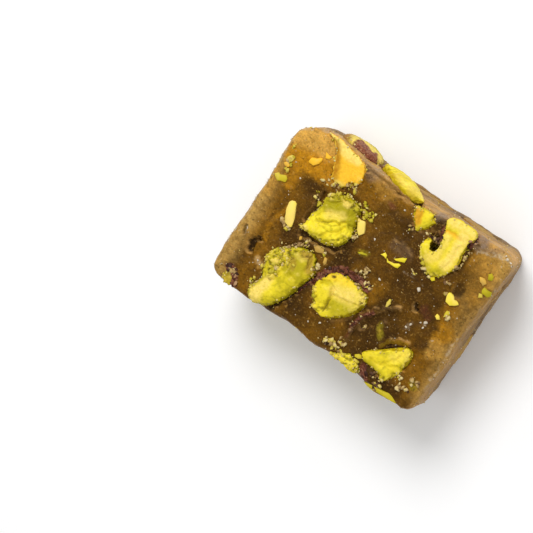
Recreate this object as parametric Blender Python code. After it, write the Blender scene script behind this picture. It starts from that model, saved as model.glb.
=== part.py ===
"""A piece of pistachio Turkish delight: a soft block of amber gel with pistachio kernels set in its faces.

Units are metres, +Z is up. The block lies on one large cut face, its long edge runs along X, and the
origin is in the middle of that face. Every kernel is a solid of its own, in a pocket that leaves a thin gap
round it.
"""

import math

import bmesh
import bpy
import numpy as np
from mathutils import Vector

MM = 0.001

# Driving dimensions of the block
LENGTH = 47 * MM
WIDTH = 34 * MM
THICKNESS = 20 * MM
CORNER_RADIUS = 2.2 * MM
CORNER_SEGMENTS = 3
EDGE_RADIUS = 1.3 * MM
EDGE_SEGMENTS = 2
GRID_STEP = 3.6 * MM
SIDE_STEP = 5 * MM
BELLY = 0.3 * MM
FOOT_TUCK = 0.3 * MM
WAVE_HEIGHT = 0.22 * MM
WAVE_SCALE = (6.1 * MM, 5.3 * MM)
WAVE_SHIFT = (0.8, -0.4)

# Clearance between a kernel and its pocket, and how far a pocket's cutter stands out of the block
GAP = 0.3 * MM
CUTTER_RISE = 3 * MM

# Superellipse powers of a kernel's section: a knife-cut top, a round top, and the part inside the gel
CUT_POWER = 5
ROUND_POWER = 2.2
BURIED_POWER = 2.4

# Spacing of the points round a kernel's mesh and its number of rings, even so that one is the rim: for the
# kernels drawn by outline, and for the ovals
DRAWN_MESH = (1.7, 8)
OVAL_MESH = (2.0, 6)
FEWEST_POINTS = 8

# How far each side of the upper face stands out from the plain box (+) or draws in (-), in millimetres:
# pairs of (place along the side, offset)
SIDE_OFFSETS = {
    "left": ((-15, 0.7), (-9, 0.7), (-4, 0.2), (3, 0.3), (5, -0.1), (8, 0.2), (12, 0.5), (16, 0.2)),
    "right": ((-15.5, 0.1), (-12, 0), (-7.6, 0.3), (-4, 0.2), (2, -0.2), (8, -0.1), (13, 0.4), (16, 0.4)),
    "front": ((-22, 0.4), (-17, 0.8), (-12, 0.6), (-6, -0.2), (1, 0.6), (5.5, -0.2), (11, 0.4), (20, 0.7)),
    "back": ((-22, -1.3), (-19, 0.6), (-15, 0.4), (-10, -0.5), (-5, -0.8), (7, -1.1), (11, -0.4), (23, 0.2)),
}

# Looks: linear colour and roughness
GEL_LOOK = ((0.10, 0.042, 0.006), 0.35)
GREEN_LOOK = ((0.62, 0.55, 0.03), 0.55)
YELLOW_LOOK = ((0.83, 0.66, 0.10), 0.55)
GOLD_LOOK = ((0.80, 0.45, 0.04), 0.5)

# Kernels drawn by their outline: name, face, look, middle, points of the outline, rise above the face, depth
# in the gel, and the power of the top, in millimetres. On the upper and lower face the points are (x, y), on
# the front and back (x, z) and on the ends (y, z).
DRAWN_KERNELS = (
    ("pistachio_top_golden", "top", GOLD_LOOK, (-12.2, 14.2), (
        (-17.6, 17.6), (-14.2, 17.4), (-11, 17), (-8.4, 15.6), (-7.9, 13.2), (-10.2, 11), (-13.4, 10.5),
        (-15.2, 12.6), (-16, 15.2)), 0.6, 2.8, CUT_POWER),
    ("pistachio_top_chunk", "top", GOLD_LOOK, (5.5, 13.8), (
        (3.1, 15.4), (6.8, 15.5), (7.7, 14.1), (6.8, 12.6), (5.6, 11.7), (4.1, 13)), 0.4, 2.6, CUT_POWER),
    ("pistachio_top_curled", "top", YELLOW_LOOK, (12.6, 12.8), (
        (9.3, 16.6), (10.7, 17.6), (14.6, 17.6), (15.9, 16.7), (15.1, 15), (15.1, 13), (15.5, 10.4),
        (14.6, 8.2), (12.6, 6.2), (10.2, 7.3), (8.2, 10.4), (9, 11.9), (10.6, 13.3), (10.2, 15.2)),
     0.7, 5.2, CUT_POWER),
    ("pistachio_top_rough", "top", GREEN_LOOK, (-8, 4.5), (
        (-12.5, 1.2), (-11.8, 4.6), (-10.9, 8.3), (-7.8, 9.6), (-4.9, 8.5), (-4.1, 5.2), (-4.3, 2),
        (-6.2, 0.2), (-10.4, -0.6)), 0.9, 4.5, ROUND_POWER),
    ("pistachio_top_log", "top", GREEN_LOOK, (-10.8, -9.8), (
        (-12, -4.1), (-8.8, -3), (-6.9, -4.6), (-6.3, -7), (-7.8, -12.2), (-10.3, -16.3), (-13.2, -17.4),
        (-15.3, -15.6), (-14.3, -12.6), (-15.5, -8.6), (-14.2, -5.6)), 1.2, 4.6, ROUND_POWER),
    ("pistachio_top_halved", "top", YELLOW_LOOK, (0.3, -6.8), (
        (-4.5, -6.6), (-3, -3.8), (0.6, -2.7), (4.5, -3.7), (5.4, -5.5), (4.2, -8.6), (0, -11.8),
        (-3, -10.3), (-4.7, -8.2)), 0.6, 4.2, CUT_POWER),
    ("pistachio_top_wedge", "top", YELLOW_LOOK, (15, -11.4), (
        (9.7, -13.1), (12.5, -10.7), (16.7, -7.3), (18.1, -8.6), (17.5, -12.3), (15.9, -15.3), (13.5, -14.4),
        (10.7, -14.2)), 0.5, 3.2, CUT_POWER),
    ("pistachio_top_corner", "top", GREEN_LOOK, (-19.6, -16.3), (
        (-20.7, -15.7), (-19.8, -15), (-18.7, -16.1), (-18.4, -17.4), (-20, -17.8), (-20.9, -17)),
     0.3, 1.8, CUT_POWER),
    ("pistachio_top_crumbly", "top", GREEN_LOOK, (8.8, -16.7), (
        (5.6, -16.4), (7.3, -15.7), (9.2, -15.3), (11, -16.1), (11.1, -17.4), (9.2, -17.7), (7.2, -17)),
     0.4, 2.4, ROUND_POWER),
    ("pistachio_front_long", "front", GREEN_LOOK, (16.9, 16.9), (
        (12.6, 16.6), (14.4, 19), (18.2, 19.2), (21, 17.4), (19.3, 14.9), (14.8, 14.6)),
     0.5, 2.4, ROUND_POWER),
    ("pistachio_back_skinned", "back", GREEN_LOOK, (-13.1, 9.2), (
        (-17.3, 9), (-16.4, 13.4), (-13, 15), (-9.6, 13.4), (-8.8, 9), (-10.8, 4), (-14.4, 3)),
     1.3, 3.6, ROUND_POWER),
    ("pistachio_back_slice", "back", YELLOW_LOOK, (-1.8, 14.2), (
        (-7.9, 10.6), (-6, 14.4), (-2.4, 17.8), (1.4, 19), (3.8, 18.4), (2.4, 14.6), (-0.8, 11),
        (-4.6, 9.2)), 1.6, 3, ROUND_POWER),
)

# Kernels of an oval outline: name, face, look, middle, length, width, turn in degrees, rise, depth and the
# power of the top, in the same places as above
OVAL_KERNELS = (
    ("pistachio_front_round", "front", YELLOW_LOOK, (-1.6, 10.4), 7.6, 6.8, 20, 0.5, 3.6, CUT_POWER),
    ("pistachio_front_almond", "front", GREEN_LOOK, (-10.8, 8.8), 10.2, 7.4, 66, 0.6, 3.4, ROUND_POWER),
    ("pistachio_front_bean", "front", GREEN_LOOK, (-18.4, 8), 7.6, 5.2, 100, 0.5, 2.8, CUT_POWER),
    ("pistachio_front_small", "front", GREEN_LOOK, (4.7, 4.8), 4.8, 2.9, 80, 0.4, 2, CUT_POWER),
    ("pistachio_front_cracked", "front", YELLOW_LOOK, (12.4, 6.4), 8.2, 6.4, 12, 0.6, 3.6, CUT_POWER),
    ("pistachio_back_cut", "back", YELLOW_LOOK, (13.6, 6.6), 8.6, 6.2, 24, 0.2, 3.2, CUT_POWER),
    ("pistachio_back_lower", "back", GREEN_LOOK, (2.4, 5), 9.4, 5.4, -14, 0.3, 3.2, ROUND_POWER),
    ("pistachio_left_bean", "left", GREEN_LOOK, (4.6, 9.4), 8.4, 5.6, 60, 0.5, 2.8, CUT_POWER),
    ("pistachio_left_small", "left", YELLOW_LOOK, (-8.6, 12.4), 5.6, 4, 15, 0.4, 2.2, CUT_POWER),
    ("pistachio_right_halved", "right", YELLOW_LOOK, (-4.4, 8), 8.2, 6, 35, 0.5, 3, CUT_POWER),
    ("pistachio_right_small", "right", GREEN_LOOK, (8.6, 11.4), 5.4, 3.6, 110, 0.4, 2.2, CUT_POWER),
    ("pistachio_under_round", "bottom", YELLOW_LOOK, (-13.2, 6.2), 8.6, 7.2, 30, 0.3, 3.6, CUT_POWER),
    ("pistachio_under_long", "bottom", GREEN_LOOK, (1.2, 8.4), 12.2, 6.2, -12, 0.3, 3.4, CUT_POWER),
    ("pistachio_under_bean", "bottom", GREEN_LOOK, (14.6, 5.2), 9, 5.6, 74, 0.3, 3.2, CUT_POWER),
    ("pistachio_under_halved", "bottom", YELLOW_LOOK, (-6.2, -6.8), 9.8, 7, 52, 0.3, 3.6, CUT_POWER),
    ("pistachio_under_small", "bottom", GREEN_LOOK, (6.8, -5.6), 5.8, 4.2, 8, 0.3, 2.4, CUT_POWER),
    ("pistachio_under_cut", "bottom", YELLOW_LOOK, (15.4, -8.8), 8.4, 6.4, -40, 0.3, 3.2, CUT_POWER),
)

# The rim of a kernel of the lower face lies this far inside it, so that the block rests on the gel
LOWER_INSET = 0.5 * MM

# Points that an oval is drawn through, the share that it narrows at one end, and the steps of a smooth curve
# between two points
OVAL_POINTS = 8
OVAL_TAPER = 0.14
CURVE_STEPS = 12

# Below this height a point of a unit ball counts as on its equator or its pole
LEVEL = 0.001


def clear_scene():
    for thing in list(bpy.data.objects):
        bpy.data.objects.remove(thing, do_unlink=True)


def material(name, look):
    """A plain surface of the given (colour, roughness)."""
    colour, roughness = look
    made = bpy.data.materials.get(name) or bpy.data.materials.new(name)
    made.use_nodes = True
    shader = made.node_tree.nodes["Principled BSDF"]
    shader.inputs["Base Color"].default_value = (*colour, 1)
    shader.inputs["Roughness"].default_value = roughness
    return made


def curve_height(pairs, place):
    """The height at a place of a smooth curve through (place, height) pairs, level beyond its ends."""
    places, heights = np.array(pairs, float).T
    slopes = np.gradient(heights, places)
    first = int(np.clip(np.searchsorted(places, place) - 1, 0, len(places) - 2))
    span = places[first + 1] - places[first]
    t = float(np.clip((place - places[first]) / span, 0, 1))
    start = (1 + 2 * t) * (1 - t) ** 2 * heights[first] + t * (1 - t) ** 2 * span * slopes[first]
    end = t * t * (3 - 2 * t) * heights[first + 1] - t * t * (1 - t) * span * slopes[first + 1]
    return start + end


def stand_out(side, along, height):
    """How far a side of the block stands out from the plain box, at a place along it and a height."""
    up = min(max(height / THICKNESS, 0), 1)
    top_offset = curve_height(SIDE_OFFSETS[side], along / MM) * MM
    return top_offset * up - FOOT_TUCK * (1 - up) ** 2 + BELLY * math.sin(math.pi * up)


def wave(x, y):
    """The shallow waves of the upper face."""
    across_x = math.sin(x / WAVE_SCALE[0] + WAVE_SHIFT[0])
    across_y = math.cos(y / WAVE_SCALE[1] + WAVE_SHIFT[1])
    return WAVE_HEIGHT * across_x * across_y


def relax(point):
    """Where a point of the plain box lies on the soft block."""
    x, y, z = point
    east = x / (LENGTH / 2)
    north = y / (WIDTH / 2)
    up = z / THICKNESS
    x_side = "right" if east > 0 else "left"
    y_side = "back" if north > 0 else "front"
    return Vector((
        x + stand_out(x_side, y, z) * east * abs(east) ** 2,
        y + stand_out(y_side, x, z) * north * abs(north) ** 2,
        z + wave(x, y) * up ** 4,
    ))


def grid_planes(length, step):
    """Evenly spaced places across a length, its ends left out, no wider apart than the step."""
    count = math.ceil(length / step)
    return [length * (i / count - 0.5) for i in range(1, count)]


def bisect(mesh, place, direction):
    everything = mesh.verts[:] + mesh.edges[:] + mesh.faces[:]
    bmesh.ops.bisect_plane(mesh, geom=everything, plane_co=place, plane_no=direction, dist=0.01 * MM)


def block_mesh():
    """The block with its rounded corners and edges, cut into a grid and relaxed."""
    mesh = bmesh.new()
    bmesh.ops.create_cube(mesh, size=1)
    for vertex in mesh.verts:
        vertex.co = Vector((vertex.co.x * LENGTH, vertex.co.y * WIDTH, (vertex.co.z + 0.5) * THICKNESS))
    upright = [e for e in mesh.edges if abs(e.verts[0].co.z - e.verts[1].co.z) > THICKNESS / 2]
    bmesh.ops.bevel(mesh, geom=upright, offset=CORNER_RADIUS, segments=CORNER_SEGMENTS, profile=0.5,
                    affect="EDGES")
    level = [e for e in mesh.edges if abs(e.verts[0].co.z - e.verts[1].co.z) < THICKNESS / 2]
    bmesh.ops.bevel(mesh, geom=level, offset=EDGE_RADIUS, segments=EDGE_SEGMENTS, profile=0.5,
                    affect="EDGES")
    for x in grid_planes(LENGTH, GRID_STEP):
        bisect(mesh, (x, 0, 0), (1, 0, 0))
    for y in grid_planes(WIDTH, GRID_STEP):
        bisect(mesh, (0, y, 0), (0, 1, 0))
    for z in grid_planes(THICKNESS, SIDE_STEP):
        bisect(mesh, (0, 0, z + THICKNESS / 2), (0, 0, 1))
    for vertex in mesh.verts:
        vertex.co = relax(vertex.co)
    return mesh


def on_face(face, along, across, out):
    """The point that lies a distance out of a face, over a place on it."""
    if face == "top":
        return Vector((along, across, THICKNESS + wave(along, across) + out))
    if face == "bottom":
        return Vector((along, across, LOWER_INSET - out))
    reach = stand_out(face, along, across) + out
    if face == "front":
        return Vector((along, -WIDTH / 2 - reach, across))
    if face == "back":
        return Vector((along, WIDTH / 2 + reach, across))
    if face == "left":
        return Vector((-LENGTH / 2 - reach, along, across))
    return Vector((LENGTH / 2 + reach, along, across))


def oval(middle, length, width, turn):
    """Points of an oval that is a little narrower at one end."""
    points = []
    for i in range(OVAL_POINTS):
        angle = 2 * math.pi * i / OVAL_POINTS
        x = length / 2 * math.cos(angle)
        y = width / 2 * math.sin(angle) * (1 - OVAL_TAPER * math.cos(angle))
        c, s = math.cos(math.radians(turn)), math.sin(math.radians(turn))
        points.append((middle[0] + x * c - y * s, middle[1] + x * s + y * c))
    return points


def smooth_loop(points, spacing):
    """Evenly spaced points, as complex numbers, on a smooth closed curve through the points."""
    corners = [complex(x, y) for x, y in points]
    count = len(corners)
    curve = []
    for i, here in enumerate(corners):
        ahead = corners[(i + 1) % count]
        leave = (ahead - corners[i - 1]) / 2
        arrive = (corners[(i + 2) % count] - here) / 2
        for step in range(CURVE_STEPS):
            t = step / CURVE_STEPS
            curve.append((1 + 2 * t) * (1 - t) ** 2 * here + t * (1 - t) ** 2 * leave
                         + t * t * (3 - 2 * t) * ahead - t * t * (1 - t) * arrive)
    curve = np.array(curve + curve[:1])
    walked = np.append(0, np.cumsum(np.abs(np.diff(curve))))
    number = max(FEWEST_POINTS, round(walked[-1] / spacing))
    places = walked[-1] * np.arange(number) / number
    return np.interp(places, walked, curve.real) + 1j * np.interp(places, walked, curve.imag)


def grown_loop(loop, margin):
    """The loop moved outward by a margin, along its own normals."""
    along = np.roll(loop, -1) - np.roll(loop, 1)
    turning = np.sum(loop.real * np.roll(loop.imag, -1) - loop.imag * np.roll(loop.real, -1))
    outward = -1j * along / np.abs(along) * np.sign(turning)
    return loop + margin * outward


def add_nugget(mesh, face, middle, loop, rise, depth, power, rings, margin=0):
    """Add the closed solid of a kernel, or with a margin of its pocket, all in millimetres, to a mesh.

    A ball whose meridians, the first of them at +Y, run through the loop's points is drawn out to the
    kernel's section.
    """
    count = len(loop)
    centre = complex(*middle)
    rim = grown_loop(loop, margin)
    ball = bmesh.ops.create_uvsphere(mesh, u_segments=count, v_segments=rings, radius=1)
    for vertex in ball["verts"]:
        x, y, z = vertex.co
        above = z > LEVEL
        bulge = 2 / (power if above else BURIED_POWER)
        outward = math.hypot(x, y) ** bulge
        height = rise if above else -(depth + margin)
        if margin and above:
            outward = math.ceil(outward - LEVEL)
            height = CUTTER_RISE / MM
        meridian = round(math.atan2(-x, y) / (2 * math.pi) * count) % count
        place = centre + (rim[meridian] - centre) * outward
        vertex.co = on_face(face, place.real * MM, place.imag * MM, height * abs(z) ** bulge * MM)


def add_object(name, mesh, surface, smooth=True):
    mesh.normal_update()
    bmesh.ops.recalc_face_normals(mesh, faces=mesh.faces[:])
    data = bpy.data.meshes.new(name)
    mesh.to_mesh(data)
    mesh.free()
    if surface:
        data.materials.append(surface)
    if smooth:
        data.shade_smooth()
    made = bpy.data.objects.new(name, data)
    bpy.context.scene.collection.objects.link(made)
    return made


def kernels():
    """Every kernel as (name, face, look, middle, outline, rise, depth, power of the top, rings)."""
    for name, face, look, middle, points, rise, depth, power in DRAWN_KERNELS:
        spacing, rings = DRAWN_MESH
        yield name, face, look, middle, smooth_loop(points, spacing), rise, depth, power, rings
    for name, face, look, middle, length, width, turn, rise, depth, power in OVAL_KERNELS:
        spacing, rings = OVAL_MESH
        loop = smooth_loop(oval(middle, length, width, turn), spacing)
        yield name, face, look, middle, loop, rise, depth, power, rings


def build():
    clear_scene()
    pockets = bmesh.new()
    for name, face, look, middle, loop, rise, depth, power, rings in kernels():
        nugget = bmesh.new()
        add_nugget(nugget, face, middle, loop, rise, depth, power, rings)
        add_object(name, nugget, material(name, look))
        add_nugget(pockets, face, middle, loop, rise, depth, power, rings, margin=GAP / MM)
    cutter = add_object("pocket_cutter", pockets, None, smooth=False)
    cutter.hide_render = True
    cutter.display_type = "WIRE"
    gel = add_object("gel_block", block_mesh(), material("gel_block", GEL_LOOK))
    cut = gel.modifiers.new("pockets", "BOOLEAN")
    cut.operation = "DIFFERENCE"
    cut.solver = "EXACT"
    cut.object = cutter


build()
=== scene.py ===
"""The looks of a piece of pistachio Turkish delight.

Amber gel, knife-cut kernels, their skins, chips and crumbs.
"""

import math
import random

import bmesh
import bpy
import numpy as np
from bpy.props import FloatProperty, FloatVectorProperty, IntProperty, PointerProperty
from bpy.types import Operator, Panel, PropertyGroup
from mathutils import Matrix, Vector, noise
from mathutils.bvhtree import BVHTree


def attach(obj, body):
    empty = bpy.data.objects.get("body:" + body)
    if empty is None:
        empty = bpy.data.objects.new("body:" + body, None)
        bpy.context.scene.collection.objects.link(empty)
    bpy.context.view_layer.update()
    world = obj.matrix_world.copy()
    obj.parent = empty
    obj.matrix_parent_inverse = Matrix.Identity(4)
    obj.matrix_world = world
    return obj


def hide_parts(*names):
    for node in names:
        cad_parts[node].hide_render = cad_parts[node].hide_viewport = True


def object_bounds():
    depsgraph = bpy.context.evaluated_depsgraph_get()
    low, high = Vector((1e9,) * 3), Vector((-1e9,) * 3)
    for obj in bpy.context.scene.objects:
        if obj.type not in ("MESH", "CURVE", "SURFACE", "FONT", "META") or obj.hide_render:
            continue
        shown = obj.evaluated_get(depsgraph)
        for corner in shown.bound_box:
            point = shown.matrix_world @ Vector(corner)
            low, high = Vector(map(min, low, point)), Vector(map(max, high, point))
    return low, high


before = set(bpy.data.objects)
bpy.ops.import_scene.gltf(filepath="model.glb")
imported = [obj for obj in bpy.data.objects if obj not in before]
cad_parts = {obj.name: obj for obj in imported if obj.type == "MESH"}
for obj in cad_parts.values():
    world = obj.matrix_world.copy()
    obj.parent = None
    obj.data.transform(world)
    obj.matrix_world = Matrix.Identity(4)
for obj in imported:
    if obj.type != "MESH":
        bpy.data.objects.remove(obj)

CAD_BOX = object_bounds()

bl_info = {
    "name": "Pistachio Turkish delight",
    "version": (1, 0, 0),
    "blender": (4, 5, 0),
    "location": "View3D > Sidebar > Delight",
    "description": "Builds a cut piece of pistachio Turkish delight around its CAD frame",
    "category": "Object",
}

MM = 0.001
TOP = 0.020  # the upper cut face
ABOVE = 0.030  # rays down at the upper face start here
DOWN = Vector((0, 0, -1))

# A kernel of the other faces lies under the gel if its share of gel film is larger than this, and then it
# is this many millimetres deeper
COVERED_SHARE = 0.5
COVERED_DEPTH = 0.5

# Kernels of the other faces: their lumps and dome in millimetres, and their cells as a share of the upper
SIDE_LUMPS = 0.16
SIDE_DOME = 0.15
SIDE_CELLS = 1.2

# The gel is drawn to a kernel within reach, wholly when it is close, and stops this gap away
HUG_REACH = 0.9 * MM
HUG_CLOSE = 0.35 * MM
HUG_GAP = 0.04 * MM

# Nothing of a kernel or of the gel comes lower than this
LOWEST_KERNEL = 0.08 * MM
LOWEST_GEL = 0.15 * MM

# The thin left edge of the golden kernel, where the gel closes up, and the curled kernel's hole
GOLDEN_EDGE = ((-18, 17.4), (-15.4, 15.4), (-13.4, 11))
CURLED_HOLE = ((9.9, 10.7), (9.9, 11.6))

# Millimetres between the flakes of a skin, and from the crumbs of a kernel's rim to its outline
FLAKE_STEP = 0.34
RIM_SPREAD = 0.22

# Kernels of the upper face: name, CAD node, slot, height of the cut face over the gel, depth, dome, lumps,
# and the outline as (x, y), all in millimetres
CUT_KERNELS = (
    ("kernel_golden", "pistachio_top_golden", "pistachio_golden", 0.3, 2.6, 0.2, 0.08, (
        (-18.3, 17.7), (-15.6, 17.8), (-13, 17.3), (-10.8, 16.9), (-9.2, 16.1), (-8.2, 14.9), (-7.8, 13.5),
        (-8.1, 12.6), (-9.2, 12.3), (-9.9, 11.8), (-9.5, 11.2), (-10.4, 10.4), (-12.2, 10.5), (-13.2, 10.9),
        (-13.7, 12.3), (-14.3, 13.8), (-15, 15.4), (-16.4, 16.7))),
    ("kernel_chunk", "pistachio_top_chunk", "pistachio_yellow", 0.35, 2.4, 0.1, 0.12, (
        (3, 15.4), (4, 15.3), (5, 15.6), (6.8, 15.8), (7, 15), (7.8, 14.6), (7.5, 13.6), (6.9, 12.7),
        (6.2, 12.5), (5.9, 11.4), (5.2, 12), (4.6, 12.7), (3.9, 13.3), (3.7, 14.4))),
    ("kernel_curled", "pistachio_top_curled", "pistachio_yellow", 0.6, 4.4, 0.25, 0.05, (
        (9.4, 16.5), (9.8, 17.1), (11, 17.6), (12.6, 17.7), (14.7, 17.7), (15.4, 17.2), (15.8, 16.6),
        (15.6, 15.8), (15, 15.3), (15.1, 14.1), (15.1, 12.4), (15.3, 11.2), (15.5, 10.3), (15.3, 9.1),
        (14.7, 8), (14.1, 7.2), (13.3, 6.5), (12.5, 6.1), (11.6, 6.4), (10.6, 6.8), (9.5, 7.6), (8.6, 8.6),
        (8, 9.8), (8, 11), (8.5, 11.7), (9.2, 11.8), (9.2, 10.6), (9.7, 10), (10.6, 10), (11.1, 10.6),
        (11.1, 11.7), (10.8, 12.7), (10.5, 13.6), (10.3, 14.3), (10, 15.2), (9.5, 15.9))),
    ("kernel_rough", "pistachio_top_rough", "pistachio_green", 0.7, 4.2, 0.6, 0.26, (
        (-13.6, 0), (-12.9, 0.6), (-12.5, 1.9), (-12.4, 3), (-12, 4.2), (-11.7, 5.8), (-11.8, 7.2),
        (-11.4, 8.3), (-10.2, 9), (-9.2, 9.5), (-7.6, 9.7), (-6.3, 9.4), (-5.4, 9), (-5, 7.9), (-4.6, 6.4),
        (-4.4, 5.2), (-3.8, 4.2), (-3.6, 3.7), (-4.3, 3), (-4.4, 2), (-5, 1), (-6, 0.3), (-6.8, 0.1),
        (-8.6, 0), (-9.9, -0.5), (-11, -0.5), (-11.9, -0.2), (-12.8, -0.4))),
    ("kernel_log", "pistachio_top_log", "pistachio_green", 0.7, 4.4, 0.7, 0.16, (
        (-12.2, -4.3), (-11, -3.5), (-9.5, -3.1), (-8, -2.9), (-7.2, -3.6), (-6.7, -5), (-6, -6),
        (-6.2, -7.6), (-7, -9), (-7.4, -10.5), (-7.8, -12), (-8.8, -14), (-10, -15.8), (-11.6, -16.7),
        (-13, -17.3), (-14.4, -16.9), (-15.1, -15.8), (-14.8, -14.6), (-14.2, -13.3), (-14.2, -12),
        (-14.8, -11.2), (-14.9, -9.5), (-15.7, -8.3), (-15.2, -7.5), (-14.9, -6.3), (-14.1, -5.8),
        (-13.2, -5.5), (-12.8, -4.9))),
    ("kernel_halved", "pistachio_top_halved", "pistachio_yellow", 0.45, 4, 0.3, 0.1, (
        (-4.8, -7.2), (-4.5, -6), (-3.9, -5), (-3.3, -3.9), (-2.3, -3.4), (-1, -3.1), (0.5, -3), (2, -3.2),
        (3.5, -3.5), (4.6, -3.8), (4.9, -4.5), (5.3, -5.2), (4.7, -6.2), (4.2, -7.6), (3.4, -9),
        (2, -10.2), (0.6, -11.4), (-0.3, -12), (-1.3, -11.8), (-2.8, -11.3), (-3.2, -10.4), (-3.9, -9.4),
        (-4.6, -8.7))),
    ("kernel_wedge", "pistachio_top_wedge", "pistachio_yellow", 0.5, 3, 0.25, 0.08, (
        (9.7, -13.1), (10.3, -12.4), (11.2, -11.6), (12.3, -10.8), (13.6, -9.9), (14.9, -9), (15.8, -8.3),
        (16.2, -7.5), (17, -7.2), (17.6, -7.9), (18, -8.7), (17.7, -9.8), (17.6, -11.4), (17.6, -12.6),
        (17, -13.5), (16.4, -14.7), (15.8, -15.3), (15.1, -15.2), (14.6, -14.5), (13.5, -14.3),
        (12.1, -14.2), (10.8, -14.2), (10.2, -13.7))),
    ("kernel_corner", "pistachio_top_corner", "pistachio_green", 0.25, 1.6, 0.1, 0.12, (
        (-21, -16.8), (-20.9, -15.7), (-20.2, -15), (-19.4, -14.9), (-18.8, -15.8), (-18.3, -16.8),
        (-18.7, -17.4), (-20, -17.5))),
    ("kernel_crumbly", "pistachio_top_crumbly", "pistachio_green", 0.3, 2.2, 0.2, 0.2, (
        (4.6, -16.6), (5.8, -16.3), (7.3, -15.3), (8, -14.7), (9, -15.2), (10.4, -15.6), (10.9, -16),
        (11.1, -16.7), (10.4, -17.3), (9.4, -17.5), (8.4, -17.1), (7, -17), (5.6, -16.9))),
)

# Kernels of the other faces: name, slot, face, the shares of gel film and of starch over them, and their
# CAD nodes, each with the form of its cut, or None for a round kernel that isn't cut
SIDE_KERNELS = (
    ("kernel_back_skinned", "pistachio_green", "back", 0, 0, (("pistachio_back_skinned", None),)),
    ("kernel_back_slice", "pistachio_yellow", "back", 0, 0, (("pistachio_back_slice", None),)),
    ("kernels_back_yellow", "pistachio_yellow", "back", 0.9, 0, (("pistachio_back_cut", "halved"),)),
    ("kernels_back_green", "pistachio_green", "back", 0.9, 0, (("pistachio_back_lower", "bean"),)),
    ("kernels_front_yellow", "pistachio_yellow", "front", 0, 0, (
        ("pistachio_front_round", "round"), ("pistachio_front_cracked", "cracked"))),
    ("kernels_front_green", "pistachio_green", "front", 0, 0, (
        ("pistachio_front_long", "almond"), ("pistachio_front_almond", "almond"),
        ("pistachio_front_bean", "halved"), ("pistachio_front_small", "small"))),
    ("kernels_left", "pistachio_green", "left", 0.25, 0.45, (
        ("pistachio_left_small", "small"), ("pistachio_left_bean", "bean"))),
    ("kernels_right", "pistachio_yellow", "right", 0.9, 0, (
        ("pistachio_right_halved", "halved"), ("pistachio_right_small", "small"))),
    ("kernels_under_yellow", "pistachio_yellow", "bottom", 0, 0.2, (
        ("pistachio_under_round", "cracked"), ("pistachio_under_halved", "halved"),
        ("pistachio_under_cut", "round"))),
    ("kernels_under_green", "pistachio_green", "bottom", 0, 0.2, (
        ("pistachio_under_long", "almond"), ("pistachio_under_bean", "bean"),
        ("pistachio_under_small", "small"))),
)

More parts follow.
